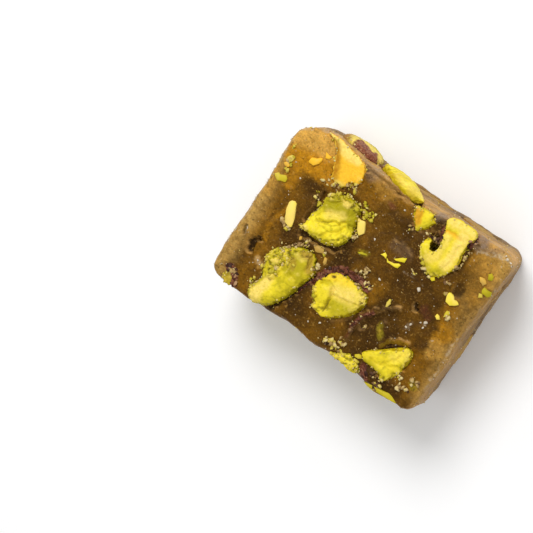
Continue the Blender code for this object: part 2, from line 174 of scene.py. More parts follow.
# Forms of a cut kernel: its outline and its strokes (as below), in halves of its length and its width
# A "brown" or "green" stroke on the line of a sunken "height" stroke is painted shade in that crease, slit or
# seam.
CUT_FORMS = {
    "almond": (
        ((1, 0.05), (0.8, 0.32), (0.5, 0.62), (0.1, 0.85), (-0.3, 0.96), (-0.62, 0.86), (-0.82, 0.55),
         (-0.72, 0.28), (-0.95, 0.1), (-1, -0.3), (-0.85, -0.7), (-0.5, -0.95), (-0.1, -0.98),
         (0.35, -0.8), (0.72, -0.42)), (
            # a sunken crease with painted shade in green along it
            ("height", -0.45, 0.06, 0.3, ((0.85, 0.05), (0.3, 0.14), (-0.5, 0.04))),
            ("green", 0.6, 0.04, 0.3, ((0.85, 0.05), (0.3, 0.14), (-0.5, 0.04))),
            ("green", 0.95, 0.4, 0.8, ((0.7, 0.4), (0, 0.8), (-0.6, 0.7))),
            ("green", 0.7, 0.3, 0.5, ((-0.95, -0.3), (-0.7, -0.1))),
            ("yellow", 0.9, 0.5, 0.8, ((0.5, -0.3), (-0.5, -0.4))),
            ("crumb", 1, 0.3, 0.35, ((-0.5, 0.62), (-0.75, 0.42))),
            ("skin", 1, 0.12, 0.2, ((-0.2, -1.02), (0.4, -0.84), (0.75, -0.45))))),
    "bean": (
        ((0.95, -0.5), (1, 0.1), (0.85, 0.6), (0.5, 0.9), (0, 1), (-0.45, 0.95), (-0.85, 0.72), (-1, 0.3),
         (-1, -0.15), (-0.88, -0.4), (-0.68, -0.42), (-0.55, -0.3), (-0.46, -0.5), (-0.5, -0.85), (0, -1),
         (0.5, -0.98), (0.85, -0.8)), (
            ("height", -0.5, 0.15, 0.6, ((0.8, 0.3), (0.2, 0.45), (-0.5, 0.3))),
            ("green", 1, 0.4, 0.8, ((0.8, 0.5), (0, 0.8), (-0.8, 0.5))),
            ("yellow", 0.9, 0.5, 0.7, ((0.6, -0.5), (0, -0.5))),
            ("crumb", 0.8, 0.3, 0.35, ((-0.3, -0.7), (0.1, -0.9))))),
    "cracked": (
        ((0.95, 0.1), (0.85, 0.55), (0.6, 0.8), (0.2, 0.95), (-0.2, 0.85), (-0.5, 1), (-0.85, 0.7),
         (-1, 0.2), (-0.9, -0.3), (-0.95, -0.6), (-0.6, -0.9), (-0.1, -0.95), (0.3, -1), (0.75, -0.75),
         (0.9, -0.35)), (
            # a sunken slit with painted shade in brown along it
            ("height", -0.9, 0.1, 0.2, ((0.2, -0.15), (-0.3, 0.2))),
            ("brown", 1, 0.1, 0.14, ((0.2, -0.15), (-0.3, 0.2))),
            ("skin", 1, 0.3, 0.3, ((0.7, -0.85), (0, -1.05), (-0.7, -0.9), (-1.05, -0.3), (-1, 0.4))),
            ("green", 0.8, 0.3, 0.8, ((0.8, 0.3), (0.2, 0.85))),
            ("yellow", 0.8, 0.6, 0.6, ((0.4, 0.3), (-0.5, 0.1))),
            ("crumb", 0.9, 0.4, 0.5, ((0.6, 0.7), (-0.6, 0.8))))),
    "halved": (
        ((0.95, 0.55), (0.65, 0.88), (0.1, 1), (-0.4, 0.98), (-0.85, 0.75), (-1, 0.35), (-0.95, -0.1),
         (-0.8, -0.55), (-0.42, -0.9), (0.1, -1), (0.55, -0.9), (0.92, -0.5), (1, 0.1)), (
            # a sunken seam with painted shade in brown along it
            ("height", -0.5, 0.03, 0.22, ((0.66, -0.62), (0.1, 0), (-0.55, 0.6))),
            ("brown", 0.9, 0.02, 0.1, ((0.66, -0.62), (0.1, 0), (-0.55, 0.6))),
            ("green", 1, 0.3, 0.8, ((-0.8, 0.7), (0, 0.95), (0.8, 0.6))),
            ("yellow", 0.9, 0.6, 0.6, ((0.5, 0.2), (-0.2, -0.3))),
            ("skin", 1, 0.24, 0.3, ((-0.95, 0.2), (-0.55, -0.55), (0, -1.02))),
            ("crumb", 0.8, 0.2, 0.3, ((0.8, -0.5), (0.95, 0.1))))),
    "round": (
        ((1, 0), (0.9, 0.45), (0.65, 0.66), (0.6, 0.9), (0.1, 1), (-0.4, 0.9), (-0.8, 0.75), (-0.95, 0.3),
         (-1, -0.2), (-0.8, -0.65), (-0.4, -0.9), (0, -1), (0.5, -0.9), (0.85, -0.5)), (
            ("pale", 0.5, 0.8, 0.8, ((0.3, -0.3), (-0.3, -0.1))),
            ("height", -0.5, 0.06, 0.3, ((0.6, 0.6), (0.1, 0.5), (-0.2, 0.75))),
            ("height", -0.5, 0.06, 0.3, ((-0.9, 0), (-0.5, 0.1), (-0.4, -0.5))),
            ("green", 1, 0.3, 0.5, ((-0.9, -0.3), (-0.8, 0.4))),
            ("crumb", 1, 0.4, 0.4, ((0.8, 0.5), (0, 0.95), (-0.6, 0.8))))),
    "small": (
        ((1, 0), (0.7, 0.5), (0.4, 0.9), (-0.1, 1), (-0.3, 0.6), (-0.6, 0.7), (-0.9, 0.2), (-1, -0.2),
         (-0.6, -0.8), (-0.1, -1), (0.3, -0.7), (0.6, -0.8), (0.9, -0.4)), (
            ("crumb", 0.8, 1, 0.6, ((0.5, 0.2), (-0.5, 0.2))),
            ("green", 0.8, 0.4, 0.6, ((0.6, -0.5), (-0.6, -0.5))))),
}

# The directions along, up and out of each face
FACE_AXES = {
    "top": ((1, 0, 0), (0, 1, 0), (0, 0, 1)), "bottom": ((1, 0, 0), (0, -1, 0), (0, 0, -1)),
    "front": ((1, 0, 0), (0, 0, 1), (0, -1, 0)), "back": ((-1, 0, 0), (0, 0, 1), (0, 1, 0)),
    "left": ((0, -1, 0), (0, 0, 1), (-1, 0, 0)), "right": ((0, 1, 0), (0, 0, 1), (1, 0, 0)),
}

# Strokes on a kernel's upper face: layer, strength, width, softness, and the line through (x, y), in
# millimetres. The strength of "height" is in millimetres too.
# A "brown" or "green" stroke on the line of a sunken "height" stroke is painted shade in that crack, seam,
# crease or pit.
KERNEL_STROKES = {
    "kernel_golden": (
        ("pale", 1, 1.2, 1, ((-18, 17.6), (-15.5, 16.9), (-12.6, 16.4), (-10.6, 16.5))),
        ("green", 0.8, 0.6, 1.2, ((-12.6, 11), (-10.6, 11.4), (-9.7, 11.2))),
        ("pale", 0.6, 0.2, 0.8, ((-12.2, 10.7), (-10.6, 10.7))),
        ("gold", 1, 4, 1.6, ((-13.6, 14), (-10.8, 13.8))),
        ("amber", 1, 0.8, 1.6, ((-16, 16), (-14.6, 14.2), (-13.4, 11.2))),
        ("height", -0.3, 0.8, 1.2, ((-16, 16), (-14.6, 14.2), (-13.4, 11.2))),
    ),
    "kernel_chunk": (
        ("gold", 1, 1, 0.7, ((3.9, 14.9), (4.7, 13.2))),
        ("amber", 0.55, 1, 0.8, ((4, 14.7), (4.8, 12.9))),
        ("pale", 0.8, 0.3, 0.4, ((3, 15.4), (4.2, 15.2))),
        ("green", 0.8, 0.5, 0.7, ((7.4, 15.2), (7.2, 13.4), (5.9, 11.8))),
        ("height", -0.3, 0.1, 0.4, ((5, 15.5), (5.2, 13.8), (5.6, 12.2))),
    ),
    "kernel_curled": (
        ("pale", 0.9, 0.9, 1.2, ((13.8, 15.6), (14, 12.5), (13.7, 9.4))),
        ("pale", 0.8, 0.8, 1.2, ((10.4, 16.8), (14.8, 16.9))),
        ("green", 0.8, 0.6, 1.3, ((8.7, 8.8), (10.2, 7.3), (12.3, 6.6), (14, 7.8))),
        ("gold", 0.9, 0.25, 0.5, ((10.5, 14.6), (11.9, 14.9), (13.4, 14.7))),
        ("height", -0.35, 0.2, 0.5, ((10.5, 14.6), (11.9, 14.8), (13.6, 14.6))),
        # painted shade in the crease along the next line
        ("green", 0.3, 0.06, 0.4, ((12.3, 13.9), (12.4, 9.5))),
        ("height", -0.18, 0.1, 0.5, ((12.3, 13.9), (12.4, 9.5))),
        ("pale", 0.6, 0.8, 1, ((11.2, 13.6), (11.4, 9.6), (10.4, 8.8))),
        ("crumb", 0.7, 0.3, 0.5, ((8.3, 8.8), (9.8, 7.2), (12.4, 6.2), (14.2, 7.4))),
        # the walls of the hole, painted dark brown, partly as painted shade
        ("hollow", 0.7, 1.6, 0.3, ((9.9, 10.6), (9.9, 11.8))),
        ("height", -0.2, 0.1, 0.5, ((14.2, 13.6), (14.3, 10), (13.4, 7.6))),
    ),
    "kernel_rough": (
        ("yellow", 1, 3.4, 1.4, ((-11.4, 2.2), (-8.4, 2.8), (-5.4, 2.6))),
        ("yellow", 1, 0.8, 1, ((-10.6, 4.2), (-8, 5.4), (-6.4, 5.6))),
        ("green", 1, 1.8, 2, ((-10.8, 6.8), (-8, 8), (-6, 7.6))),
        ("green", 0.9, 0.6, 1, ((-5.4, 7.8), (-4.8, 5.4))),
        ("green", 0.6, 0.5, 1, ((-12, 4.5), (-11.6, 7.4))),
        ("green", 0.5, 0.5, 1.2, ((-11, -0.2), (-8, 0.3), (-5.6, 0.8))),
        ("pale", 0.9, 0.4, 0.7, ((-13.4, 0), (-12, 0.4))),
        ("pale", 0.55, 0.7, 1, ((-9.6, 5.1), (-7.2, 6.2))),
        ("pale", 0.7, 0.6, 0.6, ((-8.4, 8.6), (-7.2, 8.4))),
        ("crumb", 0.9, 0.8, 0.7, ((-11.2, 8), (-9.6, 9), (-7.6, 8.6), (-5.8, 8.8))),
        ("crumb", 0.7, 0.7, 0.7, ((-6, 1), (-5, 1.8), (-4.6, 3.2))),
        ("crumb", 0.6, 0.5, 0.6, ((-12.4, -0.2), (-9.6, -0.2), (-7, 0.2))),
        # painted shade: the brown and green strokes that follow the sunken cracks below
        ("brown", 0.4, 0.02, 0.2, ((-10.9, 2.7), (-9.6, 3.4), (-8.3, 4.2))),
        ("height", -0.4, 0.08, 0.36, ((-10.9, 2.7), (-9.6, 3.4), (-8.3, 4.2), (-6.9, 4.7))),
        ("height", 0.35, 0.5, 0.7, ((-10.4, 4), (-8.6, 4.9), (-7, 5.4))),
        ("height", -0.4, 0.1, 0.4, ((-6.9, 4.7), (-6.2, 5.6), (-5, 5.4))),
        ("height", -0.45, 0.15, 0.5, ((-5.8, 4.6), (-6.2, 3.2), (-7.8, 2), (-8.6, 0.6))),
        ("height", -0.5, 0.15, 0.6, ((-11.4, 6.6), (-9.4, 7.4), (-8.6, 9.2))),
        ("green", 0.6, 0.1, 0.5, ((-11.4, 6.6), (-9.4, 7.4), (-8.6, 9.2))),
    ),
    "kernel_log": (
        ("pale", 0.95, 0.8, 1.2, ((-12.7, -12.2), (-12.9, -14), (-13.4, -15.8))),
        ("pale", 0.8, 1, 1.4, ((-13.4, -15), (-13, -16.6))),
        ("crumb", 1, 1.6, 0.9, ((-14.4, -7.6), (-13, -8.6), (-12.6, -10.6))),
        ("crumb", 0.9, 1.4, 0.9, ((-13.2, -6.4), (-11.8, -5), (-11.3, -8.2))),
        ("crumb", 0.7, 0.8, 0.7, ((-10.4, -3.9), (-8.6, -3.6))),
        ("crumb", 0.6, 0.5, 0.5, ((-15, -13), (-15, -15.6), (-14, -16.8))),
        ("yellow", 0.8, 1.2, 1.6, ((-10.8, -8), (-12, -11), (-11.6, -13.6))),
        ("height", -0.45, 0.1, 0.4, ((-11.4, -7.6), (-10.4, -8.4), (-8.6, -9))),
        ("film", 0.6, 1, 1, ((-9.2, -3.6), (-7.4, -3.4), (-6.9, -5.6))),
        ("film", 0.5, 0.6, 0.8, ((-10.6, -6), (-9.9, -7.2))),
        ("pale", 0.4, 0.3, 0.5, ((-10.4, -4.6), (-9.2, -5.2), (-8.4, -4.4))),
        ("green", 0.6, 0.8, 1, ((-10.6, -5), (-8.6, -6.6), (-7.6, -8.6))),
        ("height", -0.5, 0.4, 0.7, ((-7.6, -3.6), (-7.4, -5.8))),
        ("green", 0.8, 0.8, 1.2, ((-10.4, -8.4), (-8.6, -6.6))),
        ("height", -0.3, 0.2, 0.6, ((-13.8, -12.4), (-12, -11.4), (-11, -8.8))),
    ),
    "kernel_halved": (
        ("green", 0.75, 1.6, 1.8, ((1, -8.8), (3, -7.6))),
        ("pale", 0.8, 1.2, 1.6, ((-0.4, -6.2), (2.4, -5.6))),
        ("pale", 0.7, 0.8, 1, ((3.8, -4.3), (4.6, -5.2))),
        ("gold", 0.35, 0.8, 1.2, ((-3, -4.4), (0.8, -3.4))),
        ("height", 0.3, 1.6, 1, ((-2.6, -6.8), (-2.2, -8.2))),
        # a sunken seam, with painted shade in green along it
        ("height", -0.5, 0.1, 0.45, ((-4, -6.4), (-2.6, -5.7), (-1.4, -6.1), (-0.8, -7.7), (-0.8, -10.5))),
        ("green", 0.55, 0.1, 0.6, ((-4, -6.4), (-2.6, -5.7), (-1.4, -6.1), (-0.8, -7.7), (-0.8, -10.5))),
        ("height", -0.35, 0.1, 0.5, ((-0.6, -7.4), (1.6, -7), (4.4, -6.4))),
        ("crumb", 0.6, 0.8, 0.6, ((-1.6, -11.2), (-0.2, -9.8))),
        ("crumb", 0.9, 0.6, 0.6, ((3.4, -3.8), (4.9, -4.6), (4.4, -6.6))),
        ("crumb", 0.7, 0.4, 0.5, ((-4.4, -8.4), (-3.2, -10.4), (-2.2, -11.4))),
        # painted shade: brown in the seam and in a small pit
        ("brown", 0.7, 0.05, 0.3, ((-0.7, -8.4), (-0.8, -9.4), (-0.7, -10.8))),
        ("brown", 0.9, 0.3, 0.3, ((-2.4, -4.3), (-2.35, -4.3))),
        ("height", -0.3, 0.3, 0.3, ((-2.4, -4.3), (-2.35, -4.3))),
    ),
    "kernel_wedge": (
        ("green", 0.7, 0.4, 0.9, ((11, -14), (14, -14.1), (16, -14.8))),
        ("pale", 0.35, 0.6, 1.2, ((15.4, -10.4), (16.8, -8.4))),
        ("green", 0.5, 0.3, 0.7, ((17.5, -9), (17.4, -12.4), (16.2, -14.4))),
        ("crumb", 0.8, 0.5, 0.5, ((17.4, -8), (17.7, -10), (17.4, -12.8), (16, -14.8))),
        ("height", -0.35, 0.15, 0.5, ((12.2, -13.2), (14.6, -12.9), (16.8, -11.4))),
        ("height", -0.3, 0.1, 0.5, ((16.4, -8.6), (16, -10.6), (14.2, -12.6))),
    ),
    "kernel_crumbly": (
        ("yellow", 0.8, 4, 1, ((6, -16.6), (10, -16.2))),
        ("crumb", 0.65, 4, 1, ((5, -16.6), (10.6, -16.4))),
    ),
    "kernel_corner": (
        ("crumb", 0.5, 2, 1, ((-20.4, -16), (-19, -16.8))),
        ("film", 0.45, 2, 1, ((-20.4, -15.6), (-19, -16.8))),
    ),
    "kernel_back_slice": (("pale", 0.5, 0.8, 1.6, ((4, 17.4), (-3, 17.2))),),
}

# Strokes on the gel's upper face, in the same way
GEL_STROKES = (
    # the thin left band, pale with painted light coming through it, the tan corner and the amber round the
    # golden kernel
    ("pale", 0.75, 2.8, 3.8, ((-24.5, -17.5), (-24, -8), (-24.3, 0))),
    ("pale", 0.9, 2.8, 3.8, ((-24, -6), (-24.3, 0), (-24.6, 5))),
    ("pale", 0.8, 1.4, 3, ((-24.2, 5), (-24.2, 13))),
    ("tan", 1, 3.4, 2.4, ((-22.4, 15), (-19.4, 15.8), (-16.6, 16))),
    ("amber", 1, 4, 2.4, ((-20.4, 11.4), (-16.6, 12), (-14, 12.4))),
    ("amber", 0.65, 1.4, 1.8, ((-19.6, 8.4), (-19.8, 5.6))),
    ("amber", 0.35, 1, 1.6, ((-22.6, 6), (-22.4, 2))),
    ("amber", 0.5, 0.4, 0.8, ((-17.4, 1.4), (-18.3, -1.5), (-18.4, -4), (-17.6, -6))),
    ("amber", 0.2, 2, 2.8, ((-18.4, 5), (-18.8, -1), (-18.6, -6))),
    ("amber", 0.2, 2.2, 2.6, ((-17.4, -8), (-16.8, -13), (-17.4, -16.4))),
    # the dark middle, and painted shade in the hollows and crevices beside the kernels
    ("dark", 0.25, 1.4, 2.4, ((-15.6, 6.4), (-14.6, 3), (-14, -2))),
    ("dark", 0.5, 1.4, 1.6, ((-12.4, -1.4), (-8.6, -1.2), (-4.4, 0), (-2.2, -1))),
    ("dark", 0.7, 1, 1.2, ((-3.8, 2.6), (-3.2, -1), (-4.2, -4))),
    ("dark", 0.45, 3, 2.6, ((-1, 10), (3, 10.4), (5, 9.6))),
    ("dark", 0.5, 2.4, 2.4, ((6.4, -8), (7.6, -12), (6.2, -15))),
    ("dark", 0.6, 2.6, 2.4, ((9, -4), (11.4, -7), (9.4, -11))),
    ("dark", 0.6, 0.9, 1.2, ((13.3, -0.2), (15.4, 0.4), (16.6, -0.6))),
    ("dark", 0.75, 1.2, 0.9, ((18.2, 7.4), (18.3, 6.6))),
    ("amber", 0.3, 2, 2.6, ((-6.6, 12.8), (-2.6, 11.8), (-1.4, 9.6))),
    ("dark", 0.6, 1, 1.4, ((-10.4, 17.6), (-7.6, 16.6), (-5.2, 16.4))),
    ("dark", 0.55, 1, 1.3, ((6.8, 16.8), (8.2, 15.6))),
    ("dark", 0.35, 4.6, 3.4, ((2.4, -13), (8, -11), (10.4, -6))),
    ("dark", 0.7, 1.6, 2.2, ((-6.8, -9), (-7.2, -12), (-5, -13.6))),
    ("dark", 0.5, 0.6, 1, ((-4, 15.6), (2.8, 15.9))),
    # painted light coming through the thin corners
    ("pale", 0.75, 1.4, 2.2, ((22.4, 16.6), (23, 14.6), (23, 11.6))),
    ("pale", 0.75, 1.4, 2.2, ((-22.8, -15), (-21.2, -16.8))),
    ("amber", 0.35, 1.4, 2, ((19, 3.4), (19.6, 0.8))),
    ("dark", 0.7, 1.2, 1.4, ((11.6, -15.6), (14.4, -16.4), (19, -15.6))),
    ("dark", 0.4, 1.2, 1.4, ((-6, -14), (-2, -14.6), (2, -12.6))),
    ("dark", 0.6, 0.8, 0.6, ((16.1, 14), (15.9, 12), (16.2, 10.2))),
    ("dark", 0.9, 1.4, 1, ((9.2, 15), (9.4, 13.2))),
    # painted light: warm, lit-through patches above, on the right and at the foot
    ("amber", 0.4, 1.4, 2.2, ((-5.6, 14.6), (-3, 13.8))),
    ("amber", 0.25, 1.6, 2.2, ((-1, 14.4), (2, 14))),
    ("tan", 0.35, 0.8, 2, ((-4.8, 15.2), (-2.4, 14.2))),
    ("amber", 0.55, 1.8, 1.1, ((20.2, -0.4), (21, -1.6), (20.2, -2.6))),
    ("tan", 0.5, 1.4, 1.1, ((20.2, -4.2), (21.2, -4.8), (20.4, -5.8))),
    ("amber", 0.3, 2.2, 2.2, ((18.2, 13), (20.8, 12), (21.4, 8))),
    ("pale", 0.35, 2, 3, ((19.6, 13.6), (21.4, 11), (21.4, 7))),
    ("tan", 0.35, 1.6, 2.4, ((20, 14.8), (22.4, 14.4))),
    ("pale", 0.3, 1.6, 2.4, ((20.6, 6), (21.8, 4), (22, 1.4))),
    ("amber", 0.3, 1, 1.6, ((5.5, -1.2), (5.6, -3.6))),
    ("amber", 0.3, 1, 1.4, ((3.1, -11.4), (3.2, -13.2))),
    ("amber", 0.25, 2.4, 2.6, ((19.6, -9), (19.6, -13))),
    ("amber", 0.18, 1.6, 2.2, ((0, -15.8), (6, -15.8))),
    ("amber", 0.5, 0.3, 0.5, ((11.9, -9.8), (13, -8.3), (14.3, -7.4), (15.6, -6.9))),
    ("dark", 0.35, 2.4, 3, ((9, 3), (13.4, 2), (15.6, 3.4))),
    ("dark", 0.3, 2, 2.4, ((17, 9.6), (18.6, 9))),
    ("pale", 0.5, 1, 2.2, ((23.6, 12), (23.2, 2), (23.4, -8), (23.2, -14))),
    ("pale", 0.4, 1.2, 2, ((2.6, 16.6), (7, 16.8))),
    # kernels that show through the gel, and the thin film beside the wedge
    ("buried", 0.85, 0.4, 0.8, ((9.8, -7), (10.8, -8.6))),
    ("buried", 0.8, 0.4, 0.8, ((20.6, -12.3), (21.3, -12.8))),
    ("buried", 0.55, 0.3, 0.7, ((-1, 2.4), (0.4, 2.6))),
    ("buried", 0.35, 0.3, 0.4, ((11.9, -9.8), (13, -8.3), (14.3, -7.4), (15.6, -6.9))),
    # painted sheen: wet, violet-grey highlights on the gel where it was stretched
    ("violet", 0.9, 0.8, 0.9, ((7.4, 15.6), (8.6, 17), (10.4, 18.2), (15, 18.3), (17.6, 16.4))),
    ("violet", 0.5, 1, 1.4, ((-9.6, 17), (-7.4, 16.4), (-6.6, 15.4))),
    ("violet", 0.3, 1, 1.2, ((3.8, 7.2), (6.6, 6.9))),
    ("violet", 0.25, 0.2, 0.5, ((8.6, -4), (10.8, -2.2))),
    ("violet", 0.45, 0.3, 0.7, ((16, 14.9), (18.4, 15.8), (20.6, 16.8))),
    # purple skin left in the gel beside the crease
    ("skin", 0.5, 0.2, 0.45, ((5.5, -12.4), (5.5, -9.6), (5.8, -7.6), (6.9, -6.2))),
    ("tan", 0.3, 0.04, 0.28, ((6.7, -6.3), (8.4, -4.5), (10.9, -2.3))),
    # painted shade in the hollow beside the crease
    ("dark", 0.5, 0.3, 0.5, ((7.2, -6.8), (9, -5), (11.4, -2.8))),
    ("skin", 0.35, 0.6, 0.9, ((14.8, 0.4), (16.2, -0.6))),
    ("skin", 0.7, 0.7, 0.8, ((11.6, -16.6), (12.6, -17.2))),
    ("skin", 0.45, 0.4, 0.6, ((-1, 13), (-0.2, 12.8))),
    # starch and a painted highlight in pale lines along the rounded right edge, a painted sheen line towards
    # the far corner, starch in the far corner, and a fine scratch
    ("dust", 0.9, 0.3, 0.7, ((24.1, 12), (23.9, 3), (24.1, -3), (24.2, -8), (23.7, -13))),
    ("dust", 0.6, 0.1, 0.5, ((23.1, -1), (23.3, -6.8), (23, -10))),
    ("dust", 0.6, 0.1, 0.5, ((17.1, 14.6), (20.4, 15.9), (22.8, 16.6))),
    ("dust", 0.5, 0.6, 0.8, ((21.9, 16.4), (23.6, 15.9))),
    ("dust", 0.3, 0.6, 0.6, ((-16.9, -10), (-16, -10.7))),
    ("tan", 0.6, 0.7, 0.7, ((-16.9, -10), (-16, -10.7))),
    ("dust", 0.25, 0.2, 0.6, ((13.8, -4.4), (14.8, -3), (16.4, -2))),
    ("dust", 0.4, 0.02, 0.14, ((7.7, 4), (10, 4), (12.3, 3.8))),
    # form: pits, creases and the hollows beside kernels, with "dark" strokes as painted shade in them
    ("height", -1, 0.7, 0.6, ((-19.3, -7.2), (-19.4, -8.2), (-19.1, -9.2))),
    ("height", -0.5, 0.2, 0.5, ((-19, -7), (-18.1, -6.5))),
    ("dark", 1, 0.8, 0.4, ((-19, -6.8), (-19.5, -8), (-19, -9.2))),
    ("height", -0.5, 0.3, 0.5, ((-22.1, -6.3), (-22, -7.4))),
    ("dark", 0.6, 0.4, 0.4, ((-22.1, -6.3), (-22, -7.4))),
    ("height", -0.9, 0.6, 0.5, ((13.1, 0), (13.6, -0.4))),
    ("dark", 1, 0.7, 0.4, ((13.1, 0.1), (13.8, -0.5))),
    ("height", 0.5, 0.15, 0.7, ((5.4, -14.4), (5.5, -9.6), (5.8, -7.4), (6.9, -6), (8.5, -4.3),
                                (10.9, -2.2))),
    ("height", -0.5, 0.8, 1.2, ((6.9, -9), (8, -6.4), (10, -4.2))),
    ("height", -0.7, 1, 0.9, ((12.6, -9.8), (14, -8.8), (15.4, -8))),
    ("dark", 0.9, 0.7, 0.5, ((12.4, -10.2), (14, -9.2), (15.6, -8.2))),
    ("height", 0.6, 0.4, 0.5, ((11.8, -9.8), (12.9, -8.3), (14.3, -7.3), (15.6, -6.8))),
    ("height", -1.3, 1.4, 0.8, ((9.3, 15), (9.4, 13))),
    ("height", -0.9, 0.3, 0.5, ((-5.4, -6.6), (-6.5, -9.4), (-8, -13.4), (-9.4, -16))),
    ("dark", 1, 0.5, 0.7, ((-5.2, -6.2), (-6.7, -9.8), (-8.1, -13.4), (-9.8, -16.4))),
    ("height", -0.6, 0.3, 0.5, ((-12.8, 7.6), (-12.9, 4), (-13.3, 1.4))),
    ("dark", 0.6, 0.3, 0.7, ((-12.6, 8), (-12.8, 4.4), (-13.2, 1.6))),
    ("height", -0.7, 0.4, 0.6, ((-12.4, -1.3), (-9, -0.9), (-5.4, -0.3), (-4, 1.2))),
    ("dark", 0.75, 0.4, 0.7, ((-12.6, -1.2), (-9, -0.9), (-5.4, -0.3), (-3.6, 1.4))),
    ("height", -0.6, 0.3, 0.5, ((15.9, 13.8), (15.8, 11.2), (16, 9.6))),
    ("height", 0.35, 1.2, 1.8, ((-7.5, 16), (-5, 14.6))),
    ("height", -0.4, 0.3, 0.8, ((-8.2, 16.2), (-6, 16), (-2, 15.7), (4, 15.9), (6.6, 16.4))),
    ("dark", 0.6, 0.2, 0.5, ((-6, 16.1), (-2, 15.8), (4, 16.1), (6.6, 16.6))),
    ("height", 0.25, 0.3, 0.8, ((3.2, 7.4), (5.4, 7.8), (7.2, 7))),
    ("height", -0.3, 1, 1, ((18.2, 7.4), (18.3, 6.6))),
)

# Chips pressed into the upper face, by slot: thickness, tone from 0 green to 1 pale, and the outline
CHIPS = {
    "pistachio_green": (
        (0.7, 0.6, ((-22.9, 5.4), (-22.3, 6), (-21.8, 5.8), (-20.8, 6.3), (-20.2, 5.9), (-20.2, 5.1),
            (-21.2, 4.9), (-21.7, 4.5), (-22.2, 4.8))),
        (0.6, 0.7, ((18.5, 2.5), (19.1, 2.6), (19.4, 2.1), (19.1, 1.6), (18.6, 1.1), (18.4, 1.8))),
        (0.5, 0.2, ((21.1, 12.4), (21.6, 12.8), (22.2, 12.5), (22.4, 11.7), (21.6, 11.5))),
        (0.6, 0.1, ((21.8, 10), (22.6, 9.9), (23.4, 9.9), (23.7, 9.3), (23.2, 8.7), (22, 8.8),
            (21.7, 9.3))),
        (0.4, 0.8, ((21.5, 8.5), (22.2, 8.7), (22.6, 8.2), (21.9, 7.8))),
        (0.35, 0.2, ((-1.3, 2.1), (-0.6, 2.6), (0.4, 2.8), (0.6, 2.5), (-0.2, 2.2), (-0.9, 1.9))),
        (0.5, 0.8, ((8.5, -1.8), (8.9, -1.7), (9.2, -2.4), (9, -3.3), (8.7, -3.4), (8.4, -2.6))),
        (0.7, 0.9, ((2.1, -15.1), (2.8, -14.9), (3.4, -14.2), (4.4, -14.4), (4.8, -15), (4, -15.7),
            (3, -15.8), (2.4, -15.9))),
        (0.6, 0.4, ((8.8, -14.2), (9.4, -13.7), (10, -13.6), (10.4, -14.1), (9.8, -14.5), (9, -14.6))),
        (0.6, 0.4, ((13, -17.5), (14.3, -17.2), (15.7, -17), (17, -16.8), (18.2, -16.5), (19.5, -16.8),
            (20.3, -17.4), (19, -17.6), (16, -17.7), (14, -17.7))),
        (0.4, 0.3, ((-14.4, 7.2), (-14.2, 7.2), (-13.3, 6), (-12.6, 5.9), (-12, 5.8), (-12.2, 4.9),
            (-12.6, 4.8), (-13, 5.8), (-13.5, 6))),
        (0.5, 1, ((-22.5, 9.3), (-21.9, 10.2), (-21.1, 9.9), (-21.3, 8.9), (-22, 8.7)))),
    "pistachio_yellow": (
        (0.9, 1, ((-17.5, 2.4), (-17.2, 3), (-16.6, 3.2), (-16.2, 3), (-15.6, 1.9), (-15, 0.6),
            (-14.5, -1.2), (-15, -1.5), (-16.2, -1.2), (-16.9, 0.2), (-17.4, 1.4))),
        (1.1, 1, ((-4.8, 7.5), (-4, 7.4), (-3.2, 7.6), (-2.6, 6.7), (-2.1, 5.7), (-2.8, 4.7), (-3.6, 5.5),
            (-4.5, 7))),
        (0.8, 0.8, ((16.9, 5.4), (17.3, 5.7), (17.9, 5.6), (18.5, 5), (19.4, 4.9), (19.7, 4.6), (19.2, 4.1),
            (18.4, 3.6), (17.4, 3.8), (17, 4.5))),
        (0.5, 0.8, ((17.3, 1), (17.9, 0.9), (18.4, 0.4), (17.8, 0.1), (17.2, 0.4))),
        (0.5, 0.4, ((5.1, 4.9), (5.7, 5.4), (6.4, 6), (7.1, 6.4), (7.2, 5.4), (6.4, 5.1), (5.6, 4.8))),
        (0.5, 0.6, ((2.6, 4.2), (3.1, 5), (3.7, 4.7), (3.9, 4.1), (3.3, 4.2))),
        (0.4, 0.5, ((3.9, 4.3), (4.5, 4), (5.6, 4.2), (6.4, 4.7), (6.9, 4.7), (6.7, 3.8), (5.6, 3.6),
            (4.4, 3.6))),
        (0.5, 0.3, ((12.5, 6.1), (13.2, 6.5), (13.6, 5.9), (13.2, 5.4), (12.7, 5.6)))),
    "pistachio_golden": (
        (0.8, 1.1, ((-18.5, 11), (-18.4, 11.9), (-17.4, 12.3), (-16.6, 12.9), (-16.3, 12.6), (-16.6, 11.6),
            (-17.3, 10.8), (-18.2, 10.8))),
        (0.6, 1.1, ((-16.6, 14.2), (-15.8, 14), (-15.1, 14.1), (-15.3, 13.4), (-16.2, 13.1),
            (-16.3, 13.7))),
        (0.5, 0.6, ((20.1, 11.1), (21, 11.4), (21.8, 10.7), (21.4, 10.1), (20.6, 10.3))),
        (0.6, 0.1, ((8.9, 11.9), (9.8, 12.5), (10.7, 12.4), (11.1, 11.7), (10.4, 11.7), (9.7, 11.6),
            (9.2, 11.3))),
        (0.7, 0.4, ((-9, -1.6), (-8, -1.1), (-7, -1.2), (-6.5, -1.8), (-7.2, -2.2), (-8.2, -2.5),
            (-8.6, -2))),
        (0.5, 0.5, ((-6, -2.3), (-5.4, -2.3), (-5.1, -3.2), (-5.3, -3.7), (-5.8, -3.3))),
        (0.4, 0.6, ((-12.3, -1.8), (-11.9, -1.6), (-11.6, -2.3), (-12, -2.6))),
        (0.4, 0.8, ((-22.6, 8), (-22, 8.7), (-21.2, 8.3), (-21.3, 7.8), (-22, 7.7))),
        (0.4, 1, ((-21.6, 7.4), (-21, 7.6), (-20.7, 7), (-21.3, 6.8)))),
}

